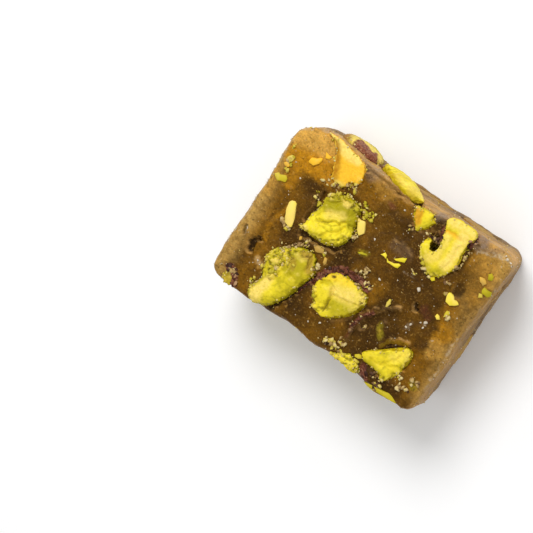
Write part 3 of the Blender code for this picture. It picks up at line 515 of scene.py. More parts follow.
# Flaky purple-brown skin: width, and the line it follows on the upper face
SKIN_FLAKES = (
    (1.2, ((-4.9, -5.9), (-4.2, -4.6), (-3.5, -3.6), (-2.2, -2.6), (-0.4, -2.2), (1.4, -2.1), (3, -2.3),
           (4.3, -2.7))),
    (0.6, ((-4.6, -5.4), (-5.4, -7), (-6.3, -8.8), (-7, -10.6))),
    (0.9, ((-21.1, -14.6), (-20.2, -14.2), (-19.4, -14.4), (-18.7, -15.4), (-18, -16.9))),
    (0.9, ((9.7, 14.8), (10.1, 13.8), (10.3, 12.9))),
    (0.8, ((15.9, 16.3), (15.5, 15.4), (15.6, 14.6))),
    (0.35, ((5.6, -11), (5.5, -9.8), (5.8, -7.9), (6.6, -6.7), (7.4, -5.8))),
    (1, ((11.4, -15.6), (12.2, -16.6), (13, -17.1))),
)

# Crumb clusters of the upper face: number, spread, tone from 0 green over 0.5 tan to 1 brown, and the line
CRUMB_LINES = (
    (26, 0.9, 0.15, ((-11.6, 8), (-10.2, 9.2), (-8.6, 10))),
    (44, 1.3, 0.1, ((-5.2, 10.6), (-4.6, 9.2), (-3.6, 8.8), (-3, 9.6))),
    (20, 0.7, 0.5, ((-14.5, 9.4), (-12.4, 9.9), (-10.2, 10.6))),
    (20, 0.8, 0.5, ((-9.6, 11), (-8.4, 11.9), (-8.2, 11.2))),
    (22, 0.8, 0.5, ((-4.2, 5), (-3.2, 4.4), (-3.6, 3.2))),
    (12, 0.8, 0.2, ((-13.6, 6.6), (-12.2, 5))),
    (14, 0.7, 0.5, ((-17, -1), (-15.6, -1.9), (-14.8, -1.4))),
    (30, 0.9, 0.5, ((-13.6, -5.3), (-11.4, -3.4), (-9.4, -2))),
    (16, 0.8, 0.5, ((-10.8, -1.6), (-9.8, -2.6))),
    (12, 0.7, 0.3, ((-7.4, -1), (-6.2, -2.2))),
    (14, 0.6, 0.5, ((-6, -4.2), (-6.4, -5.6))),
    (60, 1.5, 0.22, ((-14.8, -7.4), (-13.4, -6.6), (-12.2, -5.4), (-11.6, -7.8), (-12.8, -9.6),
                     (-13.6, -11))),
    (22, 0.8, 0.3, ((-15.4, -13.6), (-15.2, -15.2))),
    (16, 0.8, 0.3, ((-15.6, -8.4), (-14.8, -10.6))),
    (34, 0.8, 0.55, ((0.7, -1.2), (1.6, -0.6), (2.2, 0.2), (2.3, -1.6))),
    (18, 0.7, 0.55, ((3.4, -2), (4.4, -2.2))),
    (18, 0.6, 0.2, ((-2.9, -11.2), (-3.9, -9.4), (-4.6, -8.8))),
    (10, 0.6, 0.5, ((2.6, -3.2), (1.4, -2.9))),
    (10, 0.6, 0.5, ((4.2, 11.7), (5, 11.2))),
    (20, 0.6, 0.5, ((15.9, 14.4), (16.1, 12), (15.9, 9.6))),
    (8, 0.5, 0.5, ((7.6, 11.6), (8, 12.4))),
    (12, 0.35, 0.7, ((9.3, 12), (10, 12.2), (10.6, 12))),
    (16, 0.6, 0.2, ((8.4, 8.6), (10.6, 6.6), (12.6, 6))),
    (8, 0.4, 0.4, ((16.3, 4.8), (16.7, 5))),
    (8, 0.4, 0.5, ((19.2, 2.2), (19.4, 1))),
    (6, 0.5, 0.5, ((18, -12.7), (18.9, -13.4))),
    (14, 0.7, 0.6, ((17.8, -14.8), (19.2, -14.3), (20.4, -14))),
    (26, 0.9, 0.75, ((13.4, -15.4), (14.8, -16.2), (15.8, -17))),
    (36, 1, 0.4, ((2.4, -15.4), (3.6, -14.8), (5, -15.4), (6, -15))),
    (24, 0.9, 0.2, ((5, -16.6), (8, -15.6), (10.6, -16.2))),
    (10, 0.5, 0.5, ((5.2, -13), (5.8, -14.4))),
    (7, 0.5, 0.6, ((5.4, -11), (5.6, -9), (6.2, -7.2))),
    (4, 0.5, 0.6, ((7, -9.6), (7.4, -8.4))),
    (6, 0.8, 0.55, ((20.4, -12.6), (21.4, -12.2), (21.2, -10.6))),
    (9, 0.7, 0.3, ((-22.4, 9.4), (-21.4, 9.8), (-21.6, 8.2))),
    (4, 0.5, 0.3, ((-21.2, 7.2), (-21.6, 7.4))),
    (6, 0.5, 0.35, ((-22.8, 12.4), (-22.2, 11.6))),
    (16, 0.9, 0.7, ((-20.4, -14.8), (-19.2, -15))),
    (7, 0.8, 0.6, ((17, 5.8), (14.8, 7.4))),
    (5, 0.7, 0.5, ((9.4, 5), (10.8, 4.6))),
)

# White starch grains and clumps of the upper face: (x, y, width)
STARCH_GRAINS = (
    (12.1, 2.8, 0.9), (5, 0.2, 0.6), (0.1, 5.8, 0.6), (-0.1, -13.2, 0.5), (-2.1, -14.3, 0.4),
    (-4.8, -14.6, 0.4), (16.5, -1.6, 0.7), (15.7, -2.1, 0.6), (16.6, -2.7, 0.5), (14.4, -3.5, 0.5),
    (13.9, -4.3, 0.5), (14.5, -5.2, 0.3), (11.4, -4.5, 0.3), (-16.6, -10.2, 0.5), (-15.9, -10.7, 0.4),
    (-17.2, -11.1, 0.3), (1.8, 13.4, 0.5), (3.2, 13.6, 0.3), (-18.2, 7.4, 0.4), (7.9, 2, 0.4),
    (9.7, 10.9, 0.4), (10.2, 11.3, 0.35), (10, 10.6, 0.3), (22.4, 16.4, 0.7), (23.2, 16.2, 0.6),
    (23.6, 15.8, 0.5), (21.9, 16.8, 0.5), (9.4, -10.8, 0.2),
)


def linear(code):
    """The linear colour of an sRGB hex code."""
    parts = [int(code[i:i + 2], 16) / 255 for i in (1, 3, 5)]
    return tuple(p / 12.92 if p <= 0.04045 else ((p + 0.055) / 1.055) ** 2.4 for p in parts)


def colour(name, description, code):
    """A colour that a user may change."""
    return FloatVectorProperty(name=name, description=description, default=linear(code), subtype="COLOR",
                               size=3, min=0, max=1)


def distance(name, description, millimetres, least=0.0):
    """A length that a user may change, given in millimetres."""
    return FloatProperty(name=name, description=description, default=millimetres * MM, min=least,
                         subtype="DISTANCE", unit="LENGTH", precision=5)


class GelSettings(PropertyGroup):
    """Sizes and colours of the gel."""

    cell: distance("Cell", "Edge of the cells that the gel's surface is drawn with", 0.4, 0.0002)
    lump_size: distance("Lump size", "Width of the soft lumps of the gel", 3.6)
    lump_height: distance("Lump height", "Height of the soft lumps of the gel", 0.14)
    sag: distance("Sag", "How unevenly the cut sides bulge", 0.3)
    grain_height: distance("Grain height", "Height of the fine grain of the gel", 0.05)
    deep: colour("Deep gel", "Where the eye looks into the whole thickness", "#4B3008")
    # the darkest gel, also laid on as painted shade in hollows, pits and crevices
    dark: colour("Dark gel", "Hollows and the darkest middle", "#2E1C06")
    side: colour("Cut side", "The edges of the cut faces round the block", "#93703A")
    # painted light: the glow of the lit edges high on the right and back sides
    glow: colour("Lit edge", "Thin edges of the right and back sides that the light comes through", "#CB9B55")
    core: colour("Side core", "The middle of a cut face, where the gel is thick", "#4D3616")
    pale: colour("Thin gel", "Thin places that the light comes through", "#B58E48")
    amber: colour("Amber gel", "Warm places round a golden kernel", "#B47C12")
    tan: colour("Tan gel", "Warm, cloudy corners", "#CB9A44")
    buried: colour("Buried kernel", "A kernel that shows through the gel", "#8F7D1A")
    film: colour("Gel film", "Thin gel over a kernel", "#9A6F30")
    # painted sheen: the wet, violet-grey highlights of stretched gel
    violet: colour("Stretched gel", "Violet-grey, wet skin of the gel", "#87705A")
    starch: colour("Starch", "Starch dust on an end face", "#C7B597")


class KernelSettings(PropertyGroup):
    """Sizes and colours of the pistachio kernels."""

    cell: distance("Cell", "Edge of the cells that a kernel's surface is drawn with", 0.2, 0.0001)
    swell: distance("Swell", "How far the skinned kernel at the back grows", 0.22)
    green: colour("Green", "Outer flesh of a kernel", "#A99C0C")
    yellow: colour("Yellow", "Cut flesh of a kernel", "#F2DC2C")
    gold: colour("Gold", "Flesh of an older, golden kernel", "#F8BF2C")
    pale: colour("Pale", "Freshly broken flesh", "#F6D86C")
    skin: colour("Skin", "Papery skin of a kernel", "#6C3927")
    # the old skin's colour is also laid on as painted shade in cracks, seams, crumb gaps and the curled
    # kernel's hole
    old_skin: colour("Old skin", "The darkest, shrivelled parts of a skin", "#371A12")


class CrumbSettings(PropertyGroup):
    """Numbers and sizes of the crumbs, chips and starch grains."""

    seed: IntProperty(name="Seed", description="Changes where the loose bits lie", default=7, min=0)
    crumb: distance("Crumb", "Width that the kernel crumbs are scaled from", 0.62)
    scattered: IntProperty(name="Scattered crumbs", description="Crumbs strewn over all faces",
                           default=620, min=0)
    starch: IntProperty(name="Starch grains", description="Starch grains strewn over all faces",
                        default=480, min=0)
    gathered: IntProperty(name="Gathered crumbs", description="Crumbs round the kernels of the sides",
                          default=420, min=0)
    dust: IntProperty(name="Dust grains", description="Starch grains heaped on the dusted end",
                      default=800, min=0)
    side_chips: IntProperty(name="Side chips", description="Chips of kernel on the other faces",
                            default=24, min=0)
    tan: colour("Tan crumb", "Crumbs that the gel has stained", "#B99A5C")


class StageSettings(PropertyGroup):
    """Floor, light and camera."""

    floor: colour("Floor", "The plain floor", "#FFFFFF")
    fill: FloatProperty(name="Fill", description="Strength of the even light from all round", default=0.66,
                        min=0)
    key: FloatProperty(name="Key", description="Power of the soft light, in watts", default=1.55, min=0,
                       unit="POWER")
    key_size: distance("Key size", "Width of the soft light", 260)
    reach: distance("Camera distance", "From the camera to the piece", 275)


def add_node(tree, kind, inputs=None, **settings):
    """Adds a node, gives it its settings, and sets or links its inputs."""
    node = tree.nodes.new(kind)
    for name, value in settings.items():
        setattr(node, name, value)
    for name, value in (inputs or {}).items():
        if isinstance(value, bpy.types.NodeSocket):
            tree.links.new(value, node.inputs[name])
        else:
            node.inputs[name].default_value = value
    return node


def new_material(name):
    """An empty node material and its tree."""
    made = bpy.data.materials.new(name)
    made.use_nodes = True
    made.node_tree.nodes.clear()
    return made, made.node_tree


def set_stops(ramp, stops):
    """Gives a colour ramp its stops, as (place, colour)."""
    elements = ramp.color_ramp.elements
    while len(elements) < len(stops):
        elements.new(0.5)
    for element, (place, shade) in zip(elements, stops):
        element.position = place
        element.color = (*shade, 1)


def lay_over(tree, under, colours):
    """Lays each (attribute, colour, break-up) over the colour under it, where the attribute is painted."""
    for attribute, shade, breakup in colours:
        painted = add_node(tree, "ShaderNodeAttribute", attribute_name=attribute).outputs["Fac"]
        if breakup is not None:
            uneven = add_node(tree, "ShaderNodeMath", {0: painted, 1: breakup}, operation="MULTIPLY",
                              use_clamp=True)
            painted = uneven.outputs[0]
        shade = shade if isinstance(shade, bpy.types.NodeSocket) else (*shade, 1)
        under = add_node(tree, "ShaderNodeMix", {0: painted, 6: under, 7: shade},
                         data_type="RGBA").outputs[2]
    return under


def spots(tree, where, spacing, width, share):
    """Small round spots: their spacing and width in metres, and the share of cells that have one."""
    cells = add_node(tree, "ShaderNodeTexVoronoi", {"Vector": where, "Scale": 1 / spacing,
                                                    "Randomness": 1.0})
    near = add_node(tree, "ShaderNodeMapRange", {
        "Value": cells.outputs["Distance"], "From Min": 0.5 * width / spacing,
        "From Max": 0.2 * width / spacing, "To Min": 0.0, "To Max": 1.0})
    chosen = add_node(tree, "ShaderNodeSeparateColor", {0: cells.outputs["Color"]})
    kept = add_node(tree, "ShaderNodeMath", {0: chosen.outputs[0], 1: share}, operation="LESS_THAN")
    return add_node(tree, "ShaderNodeMath", {0: near.outputs[0], 1: kept.outputs[0]},
                    operation="MULTIPLY").outputs[0]


def gel_material(look, kernel_look):
    """Starch and sugar gel, cast and knife-cut.

    It is cloudy and amber-brown, darker the more of it the eye looks through, with a satin, slightly
    sticky surface, starch flecks and soft cloudy patches.
    """
    made, tree = new_material("Starch gel, cast and cut")
    where = add_node(tree, "ShaderNodeTexCoord").outputs["Object"]
    # clouds 5 mm wide, mottling of about 1 mm and a grain of 0.35 mm; starch in crinkled threads, in cells
    # of 1.2 mm, and in patches of 4 mm
    clouds, mottle, grain, threads, patches = [
        add_node(tree, "ShaderNodeTexNoise", {"Vector": where, "Scale": 1 / width, "Detail": detail,
                                              "Roughness": coarse, "Distortion": bent}).outputs["Fac"]
        for width, detail, coarse, bent in (
            (0.005, 4.0, 0.6, 0.6), (0.0011, 3.0, 0.65, 0.0), (0.00035, 2.0, 0.5, 0.0),
            (0.0012, 5.0, 0.75, 0.5), (0.004, 2.0, 0.5, 0.0))]
    breakup, base, cloudy, tone, fine, rough = [
        add_node(tree, "ShaderNodeMapRange", {"Value": pattern, "From Min": low, "From Max": high,
                                              "To Min": least, "To Max": most}).outputs[0]
        for pattern, low, high, least, most in (
            (mottle, 0.3, 0.7, 0.7, 1.25), (clouds, 0.38, 0.66, 0.0, 0.22),
            (clouds, 0.35, 0.65, -0.3, 0.3), (mottle, 0.25, 0.75, 0.8, 1.2),
            (grain, 0.3, 0.7, 0.82, 1.18), (mottle, 0.3, 0.7, 0.34, 0.58))]
    deep = add_node(tree, "ShaderNodeMix", {0: base, 6: (*look.deep, 1), 7: (*look.amber, 1)},
                    data_type="RGBA")
    # a cut face is pale at its edges, painted light coming through the thin gel, and dark in its middle, with
    # the same soft clouds
    thick = add_node(tree, "ShaderNodeAttribute", attribute_name="thick").outputs["Fac"]
    core = add_node(tree, "ShaderNodeMath", {0: thick, 1: cloudy}, operation="ADD", use_clamp=True)
    side = add_node(tree, "ShaderNodeMix", {0: core.outputs[0], 6: (*look.side, 1),
                                            7: (*look.core, 1)}, data_type="RGBA").outputs[2]
    # the glow and the violet-grey sheen laid over here are painted light, and the dark gel is partly painted
    # shade
    under = lay_over(tree, deep.outputs[2], (
        ("side", side, None), ("glow", look.glow, None), ("pale", look.pale, breakup),
        ("amber", look.amber, breakup),
        ("tan", look.tan, breakup), ("violet", look.violet, breakup), ("dark", look.dark, breakup),
        ("buried", look.buried, breakup), ("skin", kernel_look.skin, breakup)))
    tones = add_node(tree, "ShaderNodeMath", {0: tone, 1: fine}, operation="MULTIPLY")
    mottled = add_node(tree, "ShaderNodeMix", {0: 1.0, 6: under, 7: tones.outputs[0]}, data_type="RGBA",
                       blend_type="MULTIPLY")
    # irregular flecks 0.4 to 0.8 mm wide: two tones of gel, starch and dark
    flecked = mottled.outputs[2]
    for size, least, most, strength, shade in ((0.00036, 0.60, 0.72, 0.24, look.pale),
                                               (0.00075, 0.68, 0.76, 0.3, look.tan),
                                               (0.00060, 0.73, 0.79, 0.5, look.starch),
                                               (0.00050, 0.63, 0.73, 0.5, look.dark)):
        fleck = add_node(tree, "ShaderNodeTexNoise", {"Vector": where, "Scale": 1 / size, "Detail": 1.0,
                                                      "Distortion": 0.3})
        shown = add_node(tree, "ShaderNodeMapRange", {"Value": fleck.outputs["Fac"], "From Min": least,
                                                      "From Max": most, "To Min": 0.0,
                                                      "To Max": strength})
        flecked = add_node(tree, "ShaderNodeMix", {0: shown.outputs[0], 6: flecked, 7: (*shade, 1)},
                           data_type="RGBA").outputs[2]
    heaped = add_node(tree, "ShaderNodeMath", {0: patches, 1: 0.5, 2: threads},
                      operation="MULTIPLY_ADD")
    white = add_node(tree, "ShaderNodeMapRange", {"Value": heaped.outputs[0], "From Min": 0.69,
                                                  "From Max": 0.86, "To Min": 0.04,
                                                  "To Max": 1.1}).outputs[0]
    dusted = lay_over(tree, flecked, (("dust", look.starch, white),))
    dust = add_node(tree, "ShaderNodeAttribute", attribute_name="dust").outputs["Fac"]
    roughness = add_node(tree, "ShaderNodeMath", {0: dust, 1: 0.4, 2: rough},
                         operation="MULTIPLY_ADD", use_clamp=True)
    relief = add_node(tree, "ShaderNodeMath", {0: grain, 1: 0.4, 2: mottle}, operation="MULTIPLY_ADD")
    bump = add_node(tree, "ShaderNodeBump", {"Height": relief.outputs[0], "Distance": 0.00022,
                                             "Strength": 0.7})
    shader = add_node(tree, "ShaderNodeBsdfPrincipled", {
        "Base Color": dusted, "Roughness": roughness.outputs[0], "Normal": bump.outputs[0], "IOR": 1.45,
        "Specular IOR Level": 0.08, "Subsurface Weight": 0.18,
        "Subsurface Radius": (1.0, 0.55, 0.2), "Subsurface Scale": 0.0012})
    add_node(tree, "ShaderNodeOutputMaterial", {"Surface": shader.outputs[0]})
    return made


def kernel_material(name, look, flesh, rim, gel_look):
    """Pistachio flesh, knife-cut and broken.

    It is pale to yellow on the cut and green to olive at the rim, dull and slightly mealy, with fine
    knife drag and small pits.
    """
    made, tree = new_material(name)
    where = add_node(tree, "ShaderNodeTexCoord").outputs["Object"]
    # patches 2.5 mm wide, meal of 0.5 mm, drag lines 0.4 mm apart, and the wrinkles of a shrivelled skin
    # 0.9 mm apart
    stretched = add_node(tree, "ShaderNodeMapping", {"Vector": where, "Rotation": (0, 0, 0.9),
                                                     "Scale": (1, 5, 1)})
    patches, meal, drag, wrinkles = [
        add_node(tree, "ShaderNodeTexNoise", {"Vector": vector, "Scale": 1 / width, "Detail": detail,
                                              "Roughness": coarse, "Distortion": bent}).outputs["Fac"]
        for vector, width, detail, coarse, bent in (
            (where, 0.0025, 3.0, 0.55, 0.0), (where, 0.0005, 3.0, 0.6, 0.0),
            (stretched.outputs[0], 0.002, 2.0, 0.5, 0.0), (where, 0.0009, 4.0, 0.7, 1.5))]
    breakup, share, tone, rough = [
        add_node(tree, "ShaderNodeMapRange", {"Value": pattern, "From Min": low, "From Max": high,
                                              "To Min": least, "To Max": most}).outputs[0]
        for pattern, low, high, least, most in (
            (meal, 0.3, 0.7, 0.6, 1.3), (patches, 0.4, 0.75, 0.0, 0.5), (meal, 0.25, 0.75, 0.88, 1.1),
            (meal, 0.3, 0.7, 0.42, 0.62))]
    flesh_mix = add_node(tree, "ShaderNodeMix", {0: share, 6: (*flesh, 1), 7: (*rim, 1)},
                         data_type="RGBA")
    folds = add_node(tree, "ShaderNodeValToRGB", {0: wrinkles})
    set_stops(folds, ((0.34, look.old_skin), (0.5, linear("#87492F")), (0.72, linear("#B48D63"))))
    # green and brown also carry painted shade: hollows, creases, cracks, pits and the hole's walls
    under = lay_over(tree, flesh_mix.outputs[2], (
        ("rim", rim, breakup), ("yellow", look.yellow, None), ("green", look.green, breakup),
        ("gold", look.gold, None), ("pale", look.pale, breakup), ("amber", gel_look.amber, breakup),
        ("film", gel_look.film, None), ("skin", folds.outputs[0], None),
        ("brown", look.old_skin, None), ("dust", gel_look.starch, breakup)))
    mealy = add_node(tree, "ShaderNodeMix", {0: 1.0, 6: under, 7: tone}, data_type="RGBA",
                     blend_type="MULTIPLY")
    # painted shade of small pits: darker green spots 0.6 mm wide in a third of the cells of 1.6 mm
    pits = spots(tree, where, 0.0016, 0.0006, 0.35)
    faint = add_node(tree, "ShaderNodeMath", {0: pits, 1: 0.5}, operation="MULTIPLY")
    pit_shaded = add_node(tree, "ShaderNodeMix", {0: faint.outputs[0], 6: mealy.outputs[2],
                                              7: (*look.green, 1)}, data_type="RGBA")
    relief = add_node(tree, "ShaderNodeMath", {0: drag, 1: 0.8, 2: meal}, operation="MULTIPLY_ADD")
    bump = add_node(tree, "ShaderNodeBump", {"Height": relief.outputs[0], "Distance": 0.00015,
                                             "Strength": 0.6})
    shader = add_node(tree, "ShaderNodeBsdfPrincipled", {
        "Base Color": pit_shaded.outputs[2], "Roughness": rough, "Normal": bump.outputs[0],
        "Specular IOR Level": 0.15, "Subsurface Weight": 0.1,
        "Subsurface Radius": (1.0, 0.8, 0.2), "Subsurface Scale": 0.0006})
    add_node(tree, "ShaderNodeOutputMaterial", {"Surface": shader.outputs[0]})
    return made


def bits_material(name, stops, roughness, patch):
    """Small bits whose colour runs through the stops by their painted tone.

    Each bit has its own tone, so a heap of them reads as a mix of pale, stained and dark crumbs.
    """
    made, tree = new_material(name)
    where = add_node(tree, "ShaderNodeTexCoord").outputs["Object"]
    tone = add_node(tree, "ShaderNodeAttribute", attribute_name="tone").outputs["Fac"]
    mottle = add_node(tree, "ShaderNodeTexNoise", {"Vector": where, "Scale": 1 / patch,
                                                   "Detail": 3.0}).outputs["Fac"]
    uneven, rough = [
        add_node(tree, "ShaderNodeMapRange", {"Value": mottle, "From Min": low, "From Max": high,
                                              "To Min": least, "To Max": most}).outputs[0]
        for low, high, least, most in ((0.25, 0.75, -0.14, 0.14),
                                       (0.3, 0.7, roughness - 0.1, roughness + 0.1))]
    mixed = add_node(tree, "ShaderNodeMath", {0: tone, 1: uneven}, operation="ADD", use_clamp=True)
    ramp = add_node(tree, "ShaderNodeValToRGB", {0: mixed.outputs[0]})
    set_stops(ramp, stops)
    bump = add_node(tree, "ShaderNodeBump", {"Height": mottle, "Distance": 0.0001, "Strength": 0.5})
    shader = add_node(tree, "ShaderNodeBsdfPrincipled", {
        "Base Color": ramp.outputs[0], "Roughness": rough, "Normal": bump.outputs[0],
        "Specular IOR Level": 0.2})
    add_node(tree, "ShaderNodeOutputMaterial", {"Surface": shader.outputs[0]})
    return made


def link(name, mesh, surface):
    """A new object of a mesh, at the origin."""
    made = bpy.data.objects.new(name, mesh)
    bpy.context.scene.collection.objects.link(made)
    if surface is not None:
        mesh.materials.clear()
        mesh.materials.append(surface)
    mesh.shade_smooth()
    return made


def from_bmesh(name, source, surface):
    """A new object of a bmesh, with its normals outwards."""
    source.normal_update()
    bmesh.ops.recalc_face_normals(source, faces=source.faces[:])
    mesh = bpy.data.meshes.new(name)
    source.to_mesh(mesh)
    source.free()
    return link(name, mesh, surface)


def merged_copy(nodes):
    """A bmesh of copies of CAD nodes, their loose triangles merged."""
    source = bmesh.new()
    for node in nodes:
        source.from_mesh(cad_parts[node].data)
    bmesh.ops.remove_doubles(source, verts=source.verts[:], dist=0.001 * MM)
    return source


def remesh(thing, cell):
    """Draws an object's surface anew with even cells, and smooths it."""
    cells = thing.modifiers.new("cells", "REMESH")
    cells.mode = "VOXEL"
    cells.voxel_size = cell
    smooth = thing.modifiers.new("smooth", "SMOOTH")
    smooth.factor = 0.5
    smooth.iterations = 2
    shaped = bpy.data.meshes.new_from_object(thing.evaluated_get(bpy.context.evaluated_depsgraph_get()))
    thing.modifiers.clear()
    old = thing.data
    thing.data = shaped
    shaped.name = thing.name
    shaped.shade_smooth()
    bpy.data.meshes.remove(old)


def places_of(thing):
    """The places and normals of a mesh's vertices, as arrays."""
    count = len(thing.data.vertices)
    places = np.empty(count * 3, np.float32)
    normals = np.empty(count * 3, np.float32)
    thing.data.vertices.foreach_get("co", places)
    thing.data.vertex_normals.foreach_get("vector", normals)
    return places.reshape(-1, 3).astype(float), normals.reshape(-1, 3).astype(float)


def place_all(thing, places):
    """Moves a mesh's vertices to the given places."""
    thing.data.vertices.foreach_set("co", places.astype(np.float32).ravel())
    thing.data.update()


def paint(thing, layer, weights):
    """Stores a weight from 0 to 1 for each vertex as a named layer."""
    attribute = thing.data.attributes.get(layer) or thing.data.attributes.new(layer, "FLOAT", "POINT")
    attribute.data.foreach_set("value", np.clip(weights, 0, 1).astype(np.float32))


def unevenness(places, size, shift, octaves=3):
    """Smooth noise of about -1 to 1 at each place, with features of a size in metres."""
    moved = places / size + shift
    return np.array([noise.fractal(Vector(p), 0.7, 2.0, octaves, noise_basis="PERLIN_ORIGINAL")
                     for p in moved])


def plates(places, size, shift):
    """Stepped plates as in a broken surface: a level of -1 to 1 for each, and 1 in the cracks between."""
    levels, cracks = np.empty(len(places)), np.empty(len(places))
    for i, place in enumerate(places / size + shift):
        away, centres = noise.voronoi(Vector(place))
        levels[i] = noise.noise(centres[0] * 3.7) * 1.6
        cracks[i] = away[1] - away[0]
    return levels, 1 - ease(cracks / 0.16)


def ease(values):
    """A smooth step from 0 to 1."""
    t = np.clip(values, 0, 1)
    return t * t * (3 - 2 * t)


def on_top(places, normals, start):
    """How far each place belongs to the upper face, which starts at a height in millimetres."""
    return ease((normals[:, 2] - 0.2) / 0.5) * ease((places[:, 2] / MM - start) / 1.2)


def line_distance(spots_xy, line):
    """The distance of each spot to a line through points, all in millimetres."""
    best = np.full(len(spots_xy), 1e9)
    for start, end in zip(line[:-1], line[1:]):
        a, b = np.array(start, float), np.array(end, float)
        along = np.clip(((spots_xy - a) @ (b - a)) / max((b - a) @ (b - a), 1e-9), 0, 1)
        best = np.minimum(best, np.linalg.norm(spots_xy - a - along[:, None] * (b - a), axis=1))
    return best


def stroke_layers(places, strokes, ragged, seed, axes=((1, 0, 0), (0, 1, 0))):
    """The painted layers at each place of a face with two axes: {layer: weights}; heights add up."""
    flat = places @ np.array(axes, float).T / MM
    shift = np.stack([unevenness(places, 1.4 * MM, seed), unevenness(places, 1.4 * MM, seed + 9)], 1)
    flat = flat + ragged * shift
    layers = {}
    for layer, strength, width, soft, line in strokes:
        weight = strength * (1 - ease((line_distance(flat, line) - width / 2) / soft))
        if layer == "height":
            layers[layer] = layers.get(layer, 0) + weight
        else:
            layers[layer] = np.maximum(layers.get(layer, 0), weight)
    return layers


def cut_kernel(source, outline, level, depth, dome):
    """Adds a kernel with its cut face at a level.

    It is its outline, extruded down and drawn in, and a low dome, all in millimetres.
    """
    upper = source.faces.new([source.verts.new((x * MM, y * MM, level * MM)) for x, y in outline])
    centre = upper.calc_center_median()
    lower = upper
    for share, scale in ((0.3, 1.0), (0.35, 0.86), (0.35, 0.55)):
        grown = bmesh.ops.extrude_face_region(source, geom=[lower])
        if lower is not upper:
            bmesh.ops.delete(source, geom=[lower], context="FACES_ONLY")
        ring = [v for v in grown["geom"] if isinstance(v, bmesh.types.BMVert)]
        lower = [f for f in grown["geom"] if isinstance(f, bmesh.types.BMFace)][0]
        bmesh.ops.translate(source, verts=ring, vec=(0, 0, -share * depth * MM))
        bmesh.ops.scale(source, verts=ring, vec=(scale, scale, 1), space=Matrix.Translation(-centre))
    size = min(math.sqrt(upper.calc_area()) / MM / 7, 1)
    for inset in (0.35, 0.8):
        bmesh.ops.inset_region(source, faces=[upper], thickness=inset * size * MM, depth=0,
                               use_even_offset=False, use_boundary=True)
        bmesh.ops.translate(source, verts=upper.verts[:], vec=(0, 0, dome * MM * 0.6))


def fitted_form(node, axes, form):
    """A form of cut fitted to a CAD node on its face: outline, level, depth and strokes, in millimetres."""
    local = np.array([v.co for v in node.data.vertices]) @ axes.T / MM
    middle = (local[:, :2].min(0) + local[:, :2].max(0)) / 2
    _, directions = np.linalg.eigh(np.cov((local[:, :2] - middle).T))
    along, across = directions[:, 1], directions[:, 0]
    if along[1] < 0:
        along = -along
    half_length = np.ptp(local[:, :2] @ along) / 2
    half_width = np.ptp(local[:, :2] @ across) / 2

    def at(point):
        return tuple(middle + along * point[0] * half_length + across * point[1] * half_width)

    outline, marks = form
    strokes = []
    for layer, strength, width, soft, line in marks:
        strokes.append((layer, strength, width * half_width, soft * half_width, [at(p) for p in line]))
    depth = np.ptp(local[:, 2])
    return [at(point) for point in outline], local[:, 2].max() - 0.1, depth * 0.92, strokes


def block_hull():
    """A tree over the block's convex outside, which tells how far a kernel stands out of a side."""
    source = merged_copy(("gel_block",))
    bmesh.ops.convex_hull(source, input=source.verts[:])
    tree = BVHTree.FromBMesh(source)
    source.free()
    return tree


def cut_flush(places, hull):
    """Draws a kernel of the upper face back to the cut sides of the block."""
    for i, place in enumerate(places):
        spot, facing, _, away = hull.find_nearest(Vector(place))
        offset = Vector(place) - spot
        if offset.dot(facing) <= 0:
            continue
        # it may stand 0.12 mm out of a side, and more where the side rounds over to the top
        most = (0.12 + 0.9 * float(ease((facing.z - 0.2) / 0.6))) * MM
        if away > most and facing.z < 0.9:
            places[i] = spot + offset * (most / away)
    return places


